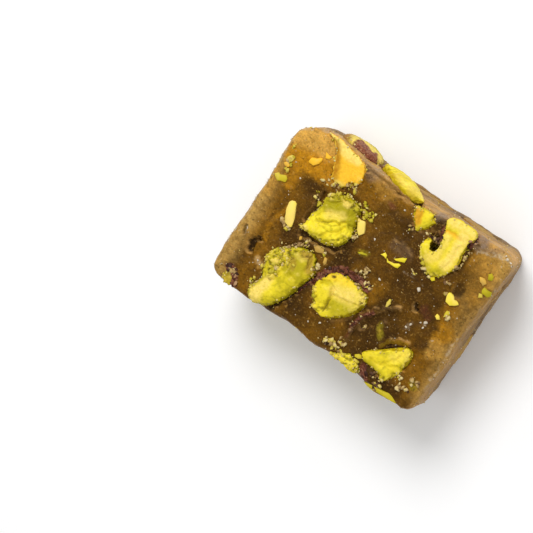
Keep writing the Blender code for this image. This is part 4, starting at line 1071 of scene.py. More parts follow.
class DELIGHT_OT_kernels(Operator):
    """Pistachio kernels in the pockets of the gel, cut flat on the upper face."""

    bl_idname = "delight.kernels"
    bl_label = "Pistachio kernels"

    def execute(self, context):
        look = context.scene.delight_kernels
        gel_look = context.scene.delight_gel
        surfaces = {
            "pistachio_green": kernel_material("Pistachio flesh, green, cut", look, linear("#D8C420"),
                                               look.green, gel_look),
            "pistachio_yellow": kernel_material("Pistachio flesh, yellow, cut", look, look.yellow,
                                                linear("#C9AE12"), gel_look),
            "pistachio_golden": kernel_material("Pistachio flesh, golden, cut", look, linear("#F7CC3C"),
                                                linear("#E2A21C"), gel_look),
        }
        self.hull = block_hull()
        for number, (name, node, slot, rise, depth, dome, lumps, outline) in enumerate(CUT_KERNELS):
            source = bmesh.new()
            cut_kernel(source, outline, TOP / MM + rise, depth + rise, dome)
            self.finish_kernel(name, (node,), slot, "top", source, look, surfaces, lumps,
                               KERNEL_STROKES.get(name, ()), (0, 0), number)
        for number, (name, slot, face, film, dust, forms) in enumerate(SIDE_KERNELS, len(CUT_KERNELS)):
            axes = np.array(FACE_AXES[face], float)
            strokes = list(KERNEL_STROKES.get(name, ()))
            nodes = [node for node, _ in forms]
            if forms[0][1] is None:
                source = merged_copy(nodes)
            else:
                source = bmesh.new()
                for node, form in forms:
                    outline, level, depth, marks = fitted_form(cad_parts[node], axes, CUT_FORMS[form])
                    sunk = COVERED_DEPTH if film > COVERED_SHARE else 0
                    cut_kernel(source, outline, level - sunk, depth, SIDE_DOME)
                    strokes += [] if film else marks
                bmesh.ops.transform(source, matrix=Matrix(FACE_AXES[face]).transposed().to_4x4(),
                                    verts=source.verts[:])
            self.finish_kernel(name, nodes, slot, face, source, look, surfaces, SIDE_LUMPS, strokes,
                               (film, dust), number)
        return {"FINISHED"}

    def finish_kernel(self, name, nodes, slot, face, source, look, surfaces, lumps, strokes, cover, seed):
        """Gives a kernel its worn, broken surface and its painted layers."""
        kernel = from_bmesh(name, source, surfaces[slot])
        remesh(kernel, look.cell * (1 if face == "top" else SIDE_CELLS))
        axes = np.array(FACE_AXES[face], float)
        whole = name in ("kernel_back_skinned", "kernel_back_slice")
        places, normals = places_of(kernel)
        if name == "kernel_back_slice":
            # its right end is drawn in round a line through its middle
            slim = 0.6 * ease(places[:, 0:1] / MM / 4.4)
            axis = np.stack([17.5 * MM - 0.2 * places[:, 0], 16.4 * MM + 0.5 * places[:, 0]], 1)
            places[:, 1:] = axis + (places[:, 1:] - axis) * (1 - slim) * np.array([0.84, 0.94])
        outward = normals @ axes[2]
        level = (places @ axes[2]).max()
        upper = ease((outward - 0.1) / 0.5) * (places @ axes[2] > level - 2.4 * MM)
        layers = stroke_layers(places, strokes, 0.25, seed * 3.1, axes[:2])
        # lumps, crumbly clumps, and broken plates with cracks between them
        big = unevenness(places, 1.9 * MM, seed * 5.3)
        small = unevenness(places, 0.7 * MM, seed * 2.9)
        clumps = unevenness(places, 0.75 * MM, seed + 40, 2)
        steps, cracks = plates(places, 2.3 * MM, seed * 1.7)
        crumbly = layers.get("crumb", 0) * upper
        broken = min(lumps / 0.26, 1)
        wall = 1 - np.abs(outward)
        move = (look.swell if name == "kernel_back_skinned" else 0) + lumps * MM * (big * 0.7 + small * 0.4)
        move = move + broken * MM * (0.22 * steps - 0.07 * cracks) * (0 if whole else 1)
        move = move + wall * small * 0.22 * MM
        move = move + crumbly * 0.5 * MM * clumps + layers.get("height", 0) * MM * upper
        places = places + normals * np.reshape(move, (-1, 1))
        if face == "top":
            places = cut_flush(places, self.hull)
        places[:, 2] = np.maximum(places[:, 2], LOWEST_KERNEL)
        place_all(kernel, places)
        normals = places_of(kernel)[1]
        rim = 1 - ease((normals @ axes[2] - 0.35) / 0.5)
        painted = {layer: layers.get(layer, np.zeros(len(places))) * upper
                   for layer in ("yellow", "green", "gold", "pale", "amber", "film", "brown", "skin")}
        relief = 0.5 * big + 0.6 * small + 0.5 * steps - 0.9 * cracks * broken
        # painted shade: hollows are darker green and the low places among crumbs green to brown, while ridges
        # and high crumbs are paler; the walls of the curled kernel's hole are painted dark brown, skin colour
        # and painted shade
        for layer, weights in (("green", ease(-relief * 1.3 - 0.25) * 0.6),
                               ("pale", ease(relief * 1.3 - 0.35) * 0.45),
                               ("pale", crumbly * ease(clumps * 2.2) * 0.6),
                               ("green", crumbly * ease(-clumps * 2.2) * 0.8),
                               ("brown", crumbly * ease(-clumps * 2.4 - 0.35) * 0.7),
                               ("brown", layers.get("hollow", 0) * rim)):
            painted[layer] = np.maximum(painted[layer], weights)
        painted["rim"] = np.clip(rim * 0.9 + 0.25 * np.maximum(big, 0), 0, 1)
        if name == "kernel_curled":
            # its upper half is paler, and its back edge runs under a film of gel
            painted["rim"] *= 0.3 + 0.7 * ease((11 - places[:, 1] / MM) / 3)
            painted["green"] *= 0.3 + 0.7 * ease((10 - places[:, 1] / MM) / 2)
            sunk = ease((19.2 + 0.8 * big - places[:, 2] / MM) / 2.4)
            at_back = ease((places[:, 1] / MM - 15) / 1.5)
            painted["film"] = np.maximum(painted["film"], 0.85 * sunk * at_back)
        painted["film"] = np.maximum(painted["film"], cover[0] * (1 + 0.2 * rim + 0.15 * big))
        if whole:
            # the gel laps over one edge, and the lower part is greener
            along, height = places[:, 0] / MM + 0.9 * big, places[:, 2] / MM + 0.9 * small
            edge = (ease((-along - 14.8) / 1.8) if name == "kernel_back_skinned"
                    else 0.6 * ease((12.6 - height) / 3.5))
            painted["film"] = np.maximum(edge, 0.2 * ease(0.5 + big))
            painted["green"] = np.maximum(painted["green"], 0.7 * ease((8 - height) / 5))
            if name == "kernel_back_skinned":
                painted["pale"] = np.maximum(painted["pale"], 0.7 * ease((height - 8) / 2))
        painted["dust"] = cover[1] * ease(0.5 + big)
        painted["skin"] = np.maximum(painted["skin"], self.skin_left(name, places, rim, seed, face))
        for layer, weights in painted.items():
            paint(kernel, layer, weights)
        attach(kernel, "root")
        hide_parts(*nodes)

    def skin_left(self, name, places, rim, seed, face):
        """Where a kernel still has its skin: in patches round the rim, and over one kernel's upper part."""
        patches = unevenness(places, 2.6 * MM, seed + 17)
        if name == "kernel_back_skinned":
            edge = unevenness(places, 1.4 * MM, seed + 21, 2)
            return (ease((places[:, 2] / MM - 11 + 1.6 * edge) / 0.8)
                    * ease((places[:, 0] / MM + 14.6 + edge) / 0.6))
        if face == "top" or name == "kernel_back_slice":
            return np.zeros(len(places))
        return ease(rim * 1.4 + patches * 1.6 - 1.05)


def kernel_names():
    """The names of all kernel pieces, in the order that they are built."""
    return [row[0] for row in CUT_KERNELS + SIDE_KERNELS]


def tree_of(names):
    """A tree for rays and nearest points over the named objects together, their faces in this order."""
    source = bmesh.new()
    for name in names:
        source.from_mesh(bpy.data.objects[name].data)
    tree = BVHTree.FromBMesh(source)
    source.free()
    return tree


def drop(tree, x, y):
    """Where a ray straight down meets a tree, and the normal there, or None for both."""
    spot, facing, _, _ = tree.ray_cast(Vector((x, y, ABOVE)), DOWN)
    return spot, facing


def walk(line):
    """The way walked along a line at each of its points."""
    return np.append(0, np.cumsum([math.dist(a, b) for a, b in zip(line[:-1], line[1:])]))


class DELIGHT_OT_gel(Operator):
    """The amber gel: a soft, cloudy block that hugs its kernels."""

    bl_idname = "delight.gel"
    bl_label = "Gel block"

    def execute(self, context):
        look = context.scene.delight_gel
        missing = [name for name in kernel_names() if name not in bpy.data.objects]
        if missing:
            raise RuntimeError("the kernels come before the gel: " + ", ".join(missing))
        gel = from_bmesh("amber_gel", merged_copy(("gel_block",)),
                         gel_material(look, context.scene.delight_kernels))
        remesh(gel, look.cell)
        self.refine_top(gel)
        places, normals = places_of(gel)
        places = self.shape(gel, places, normals, look)
        self.colour(gel, places)
        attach(gel, "root")
        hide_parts("gel_block")
        return {"FINISHED"}

    def refine_top(self, gel):
        """Halves the cells of the upper face, which holds the finest detail."""
        source = bmesh.new()
        source.from_mesh(gel.data)
        faces = [f for f in source.faces
                 if f.normal.z > 0.5 and f.calc_center_median().z > TOP - 1.5 * MM]
        edges = list(dict.fromkeys(e for f in faces for e in f.edges))
        bmesh.ops.subdivide_edges(source, edges=edges, cuts=1, use_grid_fill=True)
        bmesh.ops.triangulate(source, faces=[f for f in source.faces if len(f.verts) > 4])
        bmesh.ops.smooth_vert(source, verts=source.verts[:], factor=0.4, use_axis_x=True, use_axis_y=True,
                              use_axis_z=True)
        source.to_mesh(gel.data)
        source.free()
        gel.data.shade_smooth()

    def shape(self, gel, places, normals, look):
        """Lumps, grain, pits and creases, and then the gel drawn up to its kernels."""
        upper = on_top(places, normals, 17.5)
        under_skins = tuple(("skin", 0.75, 0.7 * width, 0.5, line) for width, line in SKIN_FLAKES)
        self.layers = stroke_layers(places, GEL_STROKES + under_skins, 0.35, 2.5)
        lumps = unevenness(places, look.lump_size, 1.3)
        grain = unevenness(places, look.lump_size * 0.25, 7.7)
        sag = unevenness(places, look.lump_size * 2.2, 3.9, 2) * (1 - upper)
        move = lumps * look.lump_height + grain * look.grain_height + sag * look.sag
        move = move + self.layers["height"] * MM * upper
        places = places + normals * move[:, None]
        tree = tree_of(kernel_names())
        self.close_up(places, normals, lumps, tree)
        self.hug(places, tree)
        places[:, 2] = np.maximum(places[:, 2], LOWEST_GEL)
        place_all(gel, places)
        return places_of(gel)[0]

    def close_up(self, places, normals, lumps, tree):
        """Raises the low gel beside the golden kernel's thin edge and round the curled kernel's hole."""
        self.blended = line_distance(places[:, :2] / MM, GOLDEN_EDGE)
        self.hole = line_distance(places[:, :2] / MM, CURLED_HOLE)
        # the face rounds down to the back side, whose own gel is left alone
        shoulder = 0.7 * MM * ease((places[:, 1] / MM - 16.2) / 2)
        back = np.where(places[:, 0] < -14.6 * MM, 16.9, 15) * MM
        inner = ((normals[:, 1] < 0.5) | (places[:, 1] < back)) & (places[:, 1] < 17.9 * MM)
        for away, width, level in ((self.blended, 3.2, 0.05), (self.hole, 1.1, 0.7)):
            low = (places[:, 2] < TOP - (level + 0.1) * MM - shoulder) & (places[:, 2] > TOP - 5 * MM)
            for i in np.flatnonzero((away < width) & low & inner):
                over, _ = drop(tree, places[i, 0], places[i, 1])
                if over is None or over.z < places[i, 2] - 0.2 * MM:
                    places[i, 2] = TOP + (0.1 * lumps[i] - level) * MM - shoulder[i]

    def hug(self, places, tree):
        """Draws the gel to the kernels, and notes how near it is to those that no gel covers."""
        ends = np.cumsum([len(bpy.data.objects[name].data.polygons) for name in kernel_names()])
        covered = [False] * len(CUT_KERNELS) + [row[3] > COVERED_SHARE for row in SIDE_KERNELS]
        self.near = np.full(len(places), 9.0)
        for i, place in enumerate(places):
            spot, facing, face, away = tree.find_nearest(Vector(place), HUG_REACH)
            if spot is None:
                continue
            offset = Vector(place) - spot
            inside = offset.dot(facing) < 0
            if not covered[np.searchsorted(ends, face, "right")]:
                self.near[i] = 0 if inside else away / MM
            if inside:
                places[i] = spot + facing * HUG_GAP
            else:
                pull = 1 - float(ease((away - HUG_CLOSE) / (HUG_REACH - HUG_CLOSE)))
                places[i] = spot + offset * (1 - pull) + offset.normalized() * (HUG_GAP * pull)

    def colour(self, gel, places):
        """Paints the layers of the gel."""
        normals = places_of(gel)[1]
        upper = on_top(places, normals, 18)
        clouds = unevenness(places, 3 * MM, 4.4)
        for layer in ("pale", "amber", "tan", "buried"):
            paint(gel, layer, self.layers[layer] * upper)
        # painted sheen on the upper face and high up on the sides
        stretched = np.maximum(upper, ease((places[:, 2] / MM - 14.5) / 3))
        paint(gel, "violet", self.layers["violet"] * stretched)
        # painted shade: the gel is darkened in the crevices round the kernels, but not where the gel closes
        # up
        plain = ease((np.minimum(self.blended - 1.7, self.hole - 0.9)) / 0.8)
        crevice_shade = (1 - ease(self.near / 0.5)) * (0.5 + 0.5 * clouds) * plain
        paint(gel, "dark", np.maximum(self.layers["dark"] * upper, crevice_shade * 0.8))
        # on the sides, torn skins cling to one side of a kernel's pocket
        clinging = ease(unevenness(places, 3.4 * MM, 6.1) * 2.4)
        torn = (1 - upper) * (1 - ease((self.near - 0.35) / 0.5)) * clinging
        paint(gel, "skin", np.maximum(self.layers["skin"] * upper, torn))
        paint(gel, "near", 1 - self.near)
        paint(gel, "side", 1 - upper)
        # painted light: a cut face is paler at its thin edges, paler still on the right and the back, and
        # glows high up on the right and the back where the light comes through
        lo, hi = places.min(0) / MM, places.max(0) / MM
        edge = np.sort(np.minimum(places / MM - lo, hi - places / MM), axis=1)[:, 1]
        right, back = ease((normals[:, 0] - 0.2) / 0.4), ease((normals[:, 1] - 0.2) / 0.4)
        paint(gel, "thick", ease((edge - 0.6) / 5.5) * (1 - 0.45 * np.maximum(right, back)))
        high = ease((places[:, 2] / MM - 5) / 11) * (0.85 + 0.5 * clouds)
        paint(gel, "glow", (0.4 * right + 0.8 * back) * high)
        # starch on the left end, least along its edges
        left = ease((-normals[:, 0] - 0.4) / 0.4) * ease((-places[:, 0] / MM - 20) / 2)
        margin = ease((edge + 1.6 * clouds - 0.6) / 2.2)
        paint(gel, "dust", np.maximum(left * (0.25 + 0.7 * margin), self.layers["dust"] * upper))


class DELIGHT_OT_skins(Operator):
    """Flaky purple-brown skins of the kernels."""

    bl_idname = "delight.skins"
    bl_label = "Kernel skins"

    def execute(self, context):
        look = context.scene.delight_kernels
        surface = bits_material("Pistachio skin, papery", (
            (0.0, linear("#3A1E12")), (0.45, look.skin), (0.75, linear("#86553A")),
            (1.0, linear("#B08A62"))), 0.5, 0.0009)
        tree = tree_of(["amber_gel"] + kernel_names())
        draw = random.Random(context.scene.delight_crumbs.seed + 2)
        source = bmesh.new()
        tones = []
        for width, line in SKIN_FLAKES:
            for x, y, turn in steps_along(line, FLAKE_STEP):
                for side in (-0.3, 0, 0.3):
                    self.flake(source, tree, draw, tones, width, x, y, turn, side)
        skins = from_bmesh("kernel_skins", source, surface)
        paint(skins, "tone", np.array(tones))
        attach(skins, "root")
        return {"FINISHED"}

    def flake(self, source, tree, draw, tones, width, x, y, turn, side):
        """One curled flake: a small, thin, ragged disc, tilted and half sunk."""
        across = (side + draw.uniform(-0.25, 0.25)) * width
        x, y = x - math.sin(turn) * across, y + math.cos(turn) * across
        hit, _ = drop(tree, x * MM, y * MM)
        if hit is None:
            return
        size = draw.uniform(0.2, 0.5) * math.sqrt(width) * MM
        height = max(hit.z, TOP - 0.8 * MM) + draw.uniform(-0.1, 0.12) * MM
        seated = (Matrix.Translation(Vector((x * MM, y * MM, height)))
                  @ Matrix.Rotation(turn + draw.uniform(-0.9, 0.9), 4, "Z")
                  @ Matrix.Rotation(draw.gauss(0, 0.5), 4, "X") @ Matrix.Rotation(draw.gauss(0, 0.4), 4, "Y")
                  @ Matrix.Diagonal((1.3, 0.9, 0.3, 1)))
        made = bmesh.ops.create_icosphere(source, subdivisions=2, radius=size, matrix=seated)
        shift = draw.uniform(0, 50)
        for vertex in made["verts"]:
            ragged = Vector((shift, 0, 0)) + vertex.co / (0.3 * MM)
            vertex.co += Vector((noise.noise(ragged), noise.noise(ragged + Vector((9, 0, 0))),
                                 noise.noise(ragged + Vector((0, 9, 0))))) * 0.35 * size
        tone = min(max(draw.gauss(0.42, 0.28), 0), 1)
        tones.extend([tone] * len(made["verts"]))


def spot_on(face, draw):
    """A place beside a face's centre, so that bits don't follow the mesh, and the face's normal."""
    side = face.normal.orthogonal().normalized()
    turned = Matrix.Rotation(draw.uniform(0, 2 * math.pi), 3, face.normal) @ side
    return face.center + turned * draw.uniform(0, 0.3 * MM), face.normal.copy()


def steps_along(line, spacing):
    """Evenly spaced (x, y, direction) along a line, in millimetres."""
    walked = walk(line)
    places = np.linspace(0, walked[-1], max(2, round(walked[-1] / spacing)))
    xs = np.interp(places, walked, [p[0] for p in line])
    ys = np.interp(places, walked, [p[1] for p in line])
    turns = np.arctan2(np.gradient(ys), np.gradient(xs))
    return zip(xs, ys, turns)


def strewn_along(draw, line, count, spread):
    """Places (x, y) strewn along a line, in millimetres."""
    walked = walk(line)
    for _ in range(count):
        along = draw.uniform(0, walked[-1])
        yield (np.interp(along, walked, [p[0] for p in line]) + draw.gauss(0, spread),
               np.interp(along, walked, [p[1] for p in line]) + draw.gauss(0, spread))


class DELIGHT_OT_chips(Operator):
    """Chips of kernel pressed into the gel."""

    bl_idname = "delight.chips"
    bl_label = "Kernel chips"

    def execute(self, context):
        look = context.scene.delight_kernels
        crumbs = context.scene.delight_crumbs
        kinds = (
            ("chips_green", "pistachio_green", (look.green, linear("#CDB821"), linear("#D9C05A"))),
            ("chips_yellow", "pistachio_yellow", (linear("#C9B81A"), look.yellow, look.pale)),
            ("chips_golden", "pistachio_golden", (linear("#9C8040"), linear("#C8A04A"), look.gold)),
        )
        tree = tree_of(["amber_gel"] + kernel_names())
        draw = random.Random(crumbs.seed)
        rows = [(slot, *row, None) for slot, chips in CHIPS.items() for row in chips]
        rows += self.side_chips(draw, crumbs.side_chips)
        for name, slot, shades in kinds:
            stops = tuple(zip((0.0, 0.5, 1.0), shades))
            surface = bits_material(f"Pistachio chip, {slot.split('_')[1]}", stops, 0.5, 0.0011)
            source = bmesh.new()
            tones = []
            for row in rows:
                if row[0] == slot:
                    self.chip(source, tree, row, tones)
            source.normal_update()
            chips = from_bmesh(name, source, surface)
            places, normals = places_of(chips)
            uneven = unevenness(places, 0.6 * MM, 8.8)
            places = places + normals * (uneven * 0.12 * MM)[:, None]
            places[:, 2] = np.maximum(places[:, 2], 0)
            place_all(chips, places)
            paint(chips, "tone", np.array(tones) + 0.25 * unevenness(places, 1 * MM, 2.2))
            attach(chips, "root")
        return {"FINISHED"}

    def side_chips(self, draw, count):
        """Chips for the front, the left end and the underside: seeded places and outlines."""
        gel = bpy.data.objects["amber_gel"].data
        faces = [p for p in gel.polygons if abs(p.center.x) > 22.8 * MM or abs(p.center.y) > 16.3 * MM
                 or p.center.z < 0.8 * MM]
        faces = [p for p in faces if p.normal.z < 0.3 and p.normal.y < 0.6 and p.normal.x < 0.6
                 and (p.center.z > 1.5 * MM or p.normal.z < -0.9)]
        rows = []
        for _ in range(count):
            face = draw.choice(faces)
            slot = draw.choice(("pistachio_green", "pistachio_yellow", "pistachio_green",
                                "pistachio_golden"))
            long, wide, turn = draw.uniform(0.5, 1.3), draw.uniform(0.3, 0.7), draw.uniform(0, 6.28)
            outline = []
            for i in range(8):
                angle = 2 * math.pi * i / 8 + draw.uniform(-0.25, 0.25)
                size = draw.uniform(0.6, 1.2)
                x, y = long * math.cos(angle) * size, wide * math.sin(angle) * size
                outline.append((x * math.cos(turn) - y * math.sin(turn),
                                x * math.sin(turn) + y * math.cos(turn)))
            rows.append((slot, draw.uniform(0.4, 0.8), draw.uniform(0.1, 0.9), outline,
                         (face.center.copy(), face.normal.copy())))
        return rows

    def chip(self, source, tree, row, tones):
        """One chip: its outline on the surface, extruded, its rim bevelled."""
        _, thick, tone, outline, seat = row
        before = len(source.verts)
        cx = sum(p[0] for p in outline) / len(outline)
        cy = sum(p[1] for p in outline) / len(outline)
        if seat is None:
            hit, facing = drop(tree, cx * MM, cy * MM)
            facing = (facing + Vector((0, 0, 3))).normalized()
            hit = Vector((cx * MM, cy * MM, max(hit.z, TOP - 0.3 * MM)))
        else:
            hit, facing = seat
        turn = Vector((0, 0, 1)).rotation_difference(facing).to_matrix().to_4x4()
        seated = Matrix.Translation(hit) @ turn
        face = source.faces.new([source.verts.new(((x - cx) * MM, (y - cy) * MM, -0.35 * thick * MM))
                                 for x, y in outline])
        grown = bmesh.ops.extrude_face_region(source, geom=[face])
        upper = [v for v in grown["geom"] if isinstance(v, bmesh.types.BMVert)]
        upper_face = [f for f in grown["geom"] if isinstance(f, bmesh.types.BMFace)][0]
        bmesh.ops.translate(source, verts=upper, vec=(0, 0, 0.75 * thick * MM))
        bmesh.ops.inset_region(source, faces=[upper_face], thickness=0.1 * MM, depth=0,
                               use_even_offset=True, use_boundary=True)
        bmesh.ops.translate(source, verts=upper_face.verts[:], vec=(0, 0, 0.1 * MM))
        source.verts.ensure_lookup_table()
        edges = list(dict.fromkeys(e for v in source.verts[before:] for e in v.link_edges))
        bmesh.ops.subdivide_edges(source, edges=edges, cuts=1, use_grid_fill=True)
        source.verts.ensure_lookup_table()
        bmesh.ops.transform(source, matrix=seated, verts=source.verts[before:])
        tones.extend([tone] * (len(source.verts) - before))


class DELIGHT_OT_crumbs(Operator):
    """Crumbs of kernel and grains of starch on all faces."""

    bl_idname = "delight.crumbs"
    bl_label = "Crumbs and starch"

    def execute(self, context):
        look = context.scene.delight_kernels
        crumbs = context.scene.delight_crumbs
        draw = random.Random(crumbs.seed + 1)
        tree = tree_of(["amber_gel"] + kernel_names() + ["chips_green", "chips_yellow", "chips_golden"])
        rows = []
        for count, spread, tone, line in CRUMB_LINES:
            for x, y in strewn_along(draw, line, count, spread / 2.4):
                size = crumbs.crumb * draw.uniform(0.4, 1.1) ** 2 * 1.5
                rows.append((x, y, size, tone + draw.gauss(0, 0.2)))
        # the more broken a kernel is, the more crumbs lie along its outline
        for *_, lumps, outline in CUT_KERNELS:
            closed = outline + outline[:1]
            count = int(walk(closed)[-1] * (1.2 + 6 * lumps))
            for x, y in strewn_along(draw, closed, count, RIM_SPREAD):
                rows.append((x, y, crumbs.crumb * draw.uniform(0.3, 0.85), draw.gauss(0.3, 0.16)))
        seats = [self.top_seat(tree, *row) for row in rows]
        seats += self.gathered(draw, crumbs.gathered, crumbs.crumb)
        seats += self.strewn(draw, crumbs.scattered, crumbs.crumb, (0.25, 0.6), (0.3, 0.75))
        self.bits("pistachio_crumbs", seats, draw, bits_material("Pistachio crumb, broken", (
            (0.0, linear("#B5A71E")), (0.28, linear("#D6C04C")), (0.42, linear("#DCC88C")),
            (0.6, crumbs.tan), (0.8, linear("#7A5A3A")), (1.0, look.old_skin)), 0.6, 0.0006),
            "pistachio_yellow")
        grains = [self.top_seat(tree, x, y, width * MM, draw.uniform(0.7, 1))
                  for x, y, width in STARCH_GRAINS]
        grains += self.dusted(draw, crumbs.dust)
        grains += self.strewn(draw, crumbs.starch, 0.3 * MM, (0.4, 1.0), (0.2, 1.0))
        self.bits("starch_grains", grains, draw, bits_material("Starch and sugar, dry grains", (
            (0.0, linear("#A08D70")), (0.5, linear("#C6B79C")), (1.0, linear("#E2D7C2"))), 0.6, 0.0005),
            None)
        return {"FINISHED"}

    def top_seat(self, tree, x, y, size, tone):
        """Where a bit lies on the upper face."""
        hit, facing = drop(tree, x * MM, y * MM)
        return None if hit is None else (hit, facing, size, tone)

    def gathered(self, draw, count, size):
        """Crumbs that gather round the kernels of the cut sides."""
        gel = bpy.data.objects["amber_gel"].data
        near = gel.attributes["near"].data
        faces = [p for p in gel.polygons if p.normal.z < 0.6 and near[p.vertices[0]].value > 0.3]
        return [(*spot_on(draw.choice(faces), draw), size * draw.uniform(0.35, 0.9), draw.gauss(0.4, 0.22))
                for _ in range(count)]

    def dusted(self, draw, count):
        """Starch grains heaped on the dusted end."""
        gel = bpy.data.objects["amber_gel"].data
        dust = gel.attributes["dust"].data
        faces = [p for p in gel.polygons if p.normal.x < -0.5 and dust[p.vertices[0]].value > 0.5]
        seats = []
        while len(seats) < count:
            face = draw.choice(faces)
            if noise.noise(face.center / (1.1 * MM)) > -0.05:
                seats.append((*spot_on(face, draw), draw.uniform(0.15, 0.42) * MM, draw.uniform(0.2, 1)))
        return seats

    def strewn(self, draw, count, size, sizes, tones):
        """Bits strewn over the whole block, fewer on the upper face."""
        gel = bpy.data.objects["amber_gel"].data
        total = len(gel.polygons)
        seats = []
        while len(seats) < count:
            face = gel.polygons[draw.randrange(total)]
            if face.normal.z > 0.5 and draw.random() < 0.9:
                continue
            seats.append((*spot_on(face, draw), size * draw.uniform(*sizes), draw.uniform(*tones)))
        return seats

    def bits(self, name, seats, draw, surface, slot):
        """Joins small, uneven, 20-sided bits into one piece."""
        source = bmesh.new()
        tones = []
        for seat in seats:
            if seat is None:
                continue
            hit, facing, size, tone = seat
            turn = Matrix.Rotation(draw.uniform(0, 6.28), 4, Vector((draw.uniform(-1, 1),
                                                                     draw.uniform(-1, 1), 0.4)))
            stretch = Matrix.Diagonal((draw.uniform(0.7, 1.5), draw.uniform(0.55, 1.0),
                                       draw.uniform(0.45, 0.85), 1))
            seated = Matrix.Translation(hit + facing * size * 0.1) @ turn @ stretch
            bit = bmesh.ops.create_icosphere(source, subdivisions=1, radius=size / 2, matrix=seated)
            for vertex in bit["verts"]:
                vertex.co += Vector((draw.uniform(-1, 1), draw.uniform(-1, 1),
                                     draw.uniform(-1, 1))) * size * 0.17
                vertex.co.z = max(vertex.co.z, 0)
            tones.extend([tone] * len(bit["verts"]))
        made = from_bmesh(name, source, surface)
        paint(made, "tone", np.array(tones))
        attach(made, "root")


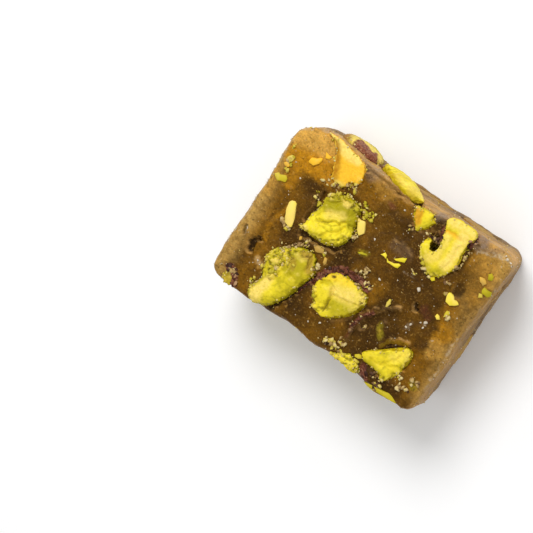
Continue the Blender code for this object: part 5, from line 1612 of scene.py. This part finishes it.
class DELIGHT_OT_stage(Operator):
    """Plain pale floor, soft light and the camera."""

    bl_idname = "delight.stage"
    bl_label = "Floor, light and camera"

    def execute(self, context):
        look = context.scene.delight_stage
        scene = context.scene
        scene.view_settings.view_transform = "Standard"
        self.floor(look)
        self.lights(scene, look)
        self.camera(scene, look)
        return {"FINISHED"}

    def floor(self, look):
        """Matt painted board: even and nearly white."""
        made, tree = new_material("Painted board, matt")
        where = add_node(tree, "ShaderNodeTexCoord").outputs["Object"]
        grain = add_node(tree, "ShaderNodeTexNoise", {"Vector": where, "Scale": 40.0})
        tone = add_node(tree, "ShaderNodeMapRange", {"Value": grain.outputs["Fac"], "To Min": 0.98,
                                                     "To Max": 1.0})
        shade = add_node(tree, "ShaderNodeMix", {0: 1.0, 6: (*look.floor, 1), 7: tone.outputs[0]},
                         data_type="RGBA", blend_type="MULTIPLY")
        shader = add_node(tree, "ShaderNodeBsdfPrincipled", {
            "Base Color": shade.outputs[2], "Roughness": 0.9, "Specular IOR Level": 0.1})
        add_node(tree, "ShaderNodeOutputMaterial", {"Surface": shader.outputs[0]})
        source = bmesh.new()
        half_width, gap = 3, 0.0002
        bmesh.ops.create_grid(source, x_segments=1, y_segments=1, size=half_width)
        bmesh.ops.translate(source, verts=source.verts[:], vec=(0, 0, CAD_BOX[0].z - gap))
        floor = from_bmesh("floor", source, made)

    def lights(self, scene, look):
        """An even white surround and one large soft light."""
        world = bpy.data.worlds.new("surround")
        world.use_nodes = True
        world.node_tree.nodes["Background"].inputs["Color"].default_value = (1, 1, 1, 1)
        world.node_tree.nodes["Background"].inputs["Strength"].default_value = look.fill
        scene.world = world
        light = bpy.data.lights.new("soft_key", "AREA")
        light.shape = "DISK"
        light.size = look.key_size
        light.energy = look.key
        key = bpy.data.objects.new("soft_key", light)
        scene.collection.objects.link(key)
        slant, away = 0.75, 0.5
        direction = Vector((-0.56 * slant, 0.83 * slant, 1.0)).normalized()
        key.location = Vector((0, 0, TOP)) + direction * away
        key.rotation_euler = direction.to_track_quat("Z", "Y").to_euler()

    def camera(self, scene, look):
        """The viewing angle: nearly from above, leaning to the right and back, and rolled."""
        lean_x, lean_y, roll = math.radians(10.2), math.radians(10.5), math.radians(34.3)
        aim = Vector((0.6 * MM, 0.2 * MM, TOP))
        back = Vector((math.tan(lean_x), math.tan(lean_y), 1)).normalized()
        right = Vector((math.cos(roll), math.sin(roll), 0))
        right = (right - back * right.dot(back)).normalized()
        place = aim + back * look.reach
        # the piece stands to the right of the middle of the view, and a little above it
        aside, above = 17.58 * MM, 0.093 * MM
        turn = math.atan2(aside, look.reach)
        lift = math.atan2(above, look.reach)
        normal = math.cos(turn) * back + math.sin(turn) * right
        side = math.cos(turn) * right - math.sin(turn) * back
        up = normal.cross(side)
        normal, up = (math.cos(lift) * normal + math.sin(lift) * up,
                      math.cos(lift) * up - math.sin(lift) * normal)
        data = bpy.data.cameras.new("camera")
        data.sensor_width = 36
        data.lens = 99.66
        data.clip_start = 0.01
        data.clip_end = 10
        camera = bpy.data.objects.new("camera", data)
        scene.collection.objects.link(camera)
        camera.matrix_world = Matrix.Translation(place) @ Matrix((side, up, normal)).transposed().to_4x4()
        scene.camera = camera


class DELIGHT_PT_panel(Panel):
    """The pieces of the Turkish delight, in the order that they are built."""

    bl_idname = "DELIGHT_PT_panel"
    bl_label = "Pistachio Turkish delight"
    bl_space_type = "VIEW_3D"
    bl_region_type = "UI"
    bl_category = "Delight"

    def draw(self, context):
        scene = context.scene
        for settings, operators in (
                (scene.delight_kernels, ("delight.kernels",)),
                (scene.delight_gel, ("delight.gel",)),
                (scene.delight_crumbs, ("delight.skins", "delight.chips", "delight.crumbs")),
                (scene.delight_stage, ("delight.stage",))):
            box = self.layout.box()
            for name in settings.bl_rna.properties.keys():
                if name not in ("rna_type", "name"):
                    box.prop(settings, name)
            for operator in operators:
                box.operator(operator)


CLASSES = (GelSettings, KernelSettings, CrumbSettings, StageSettings, DELIGHT_OT_kernels, DELIGHT_OT_gel,
           DELIGHT_OT_skins, DELIGHT_OT_chips, DELIGHT_OT_crumbs, DELIGHT_OT_stage, DELIGHT_PT_panel)
SETTINGS = {"delight_gel": GelSettings, "delight_kernels": KernelSettings,
            "delight_crumbs": CrumbSettings, "delight_stage": StageSettings}


def register():
    for kind in CLASSES:
        bpy.utils.register_class(kind)
    for name, kind in SETTINGS.items():
        setattr(bpy.types.Scene, name, PointerProperty(type=kind))


def unregister():
    for name in SETTINGS:
        delattr(bpy.types.Scene, name)
    for kind in reversed(CLASSES):
        bpy.utils.unregister_class(kind)


def main():
    register()
    bpy.ops.delight.kernels()
    bpy.ops.delight.gel()
    bpy.ops.delight.skins()
    bpy.ops.delight.chips()
    bpy.ops.delight.crumbs()
    bpy.ops.delight.stage()


if __name__ == "__main__":
    main()
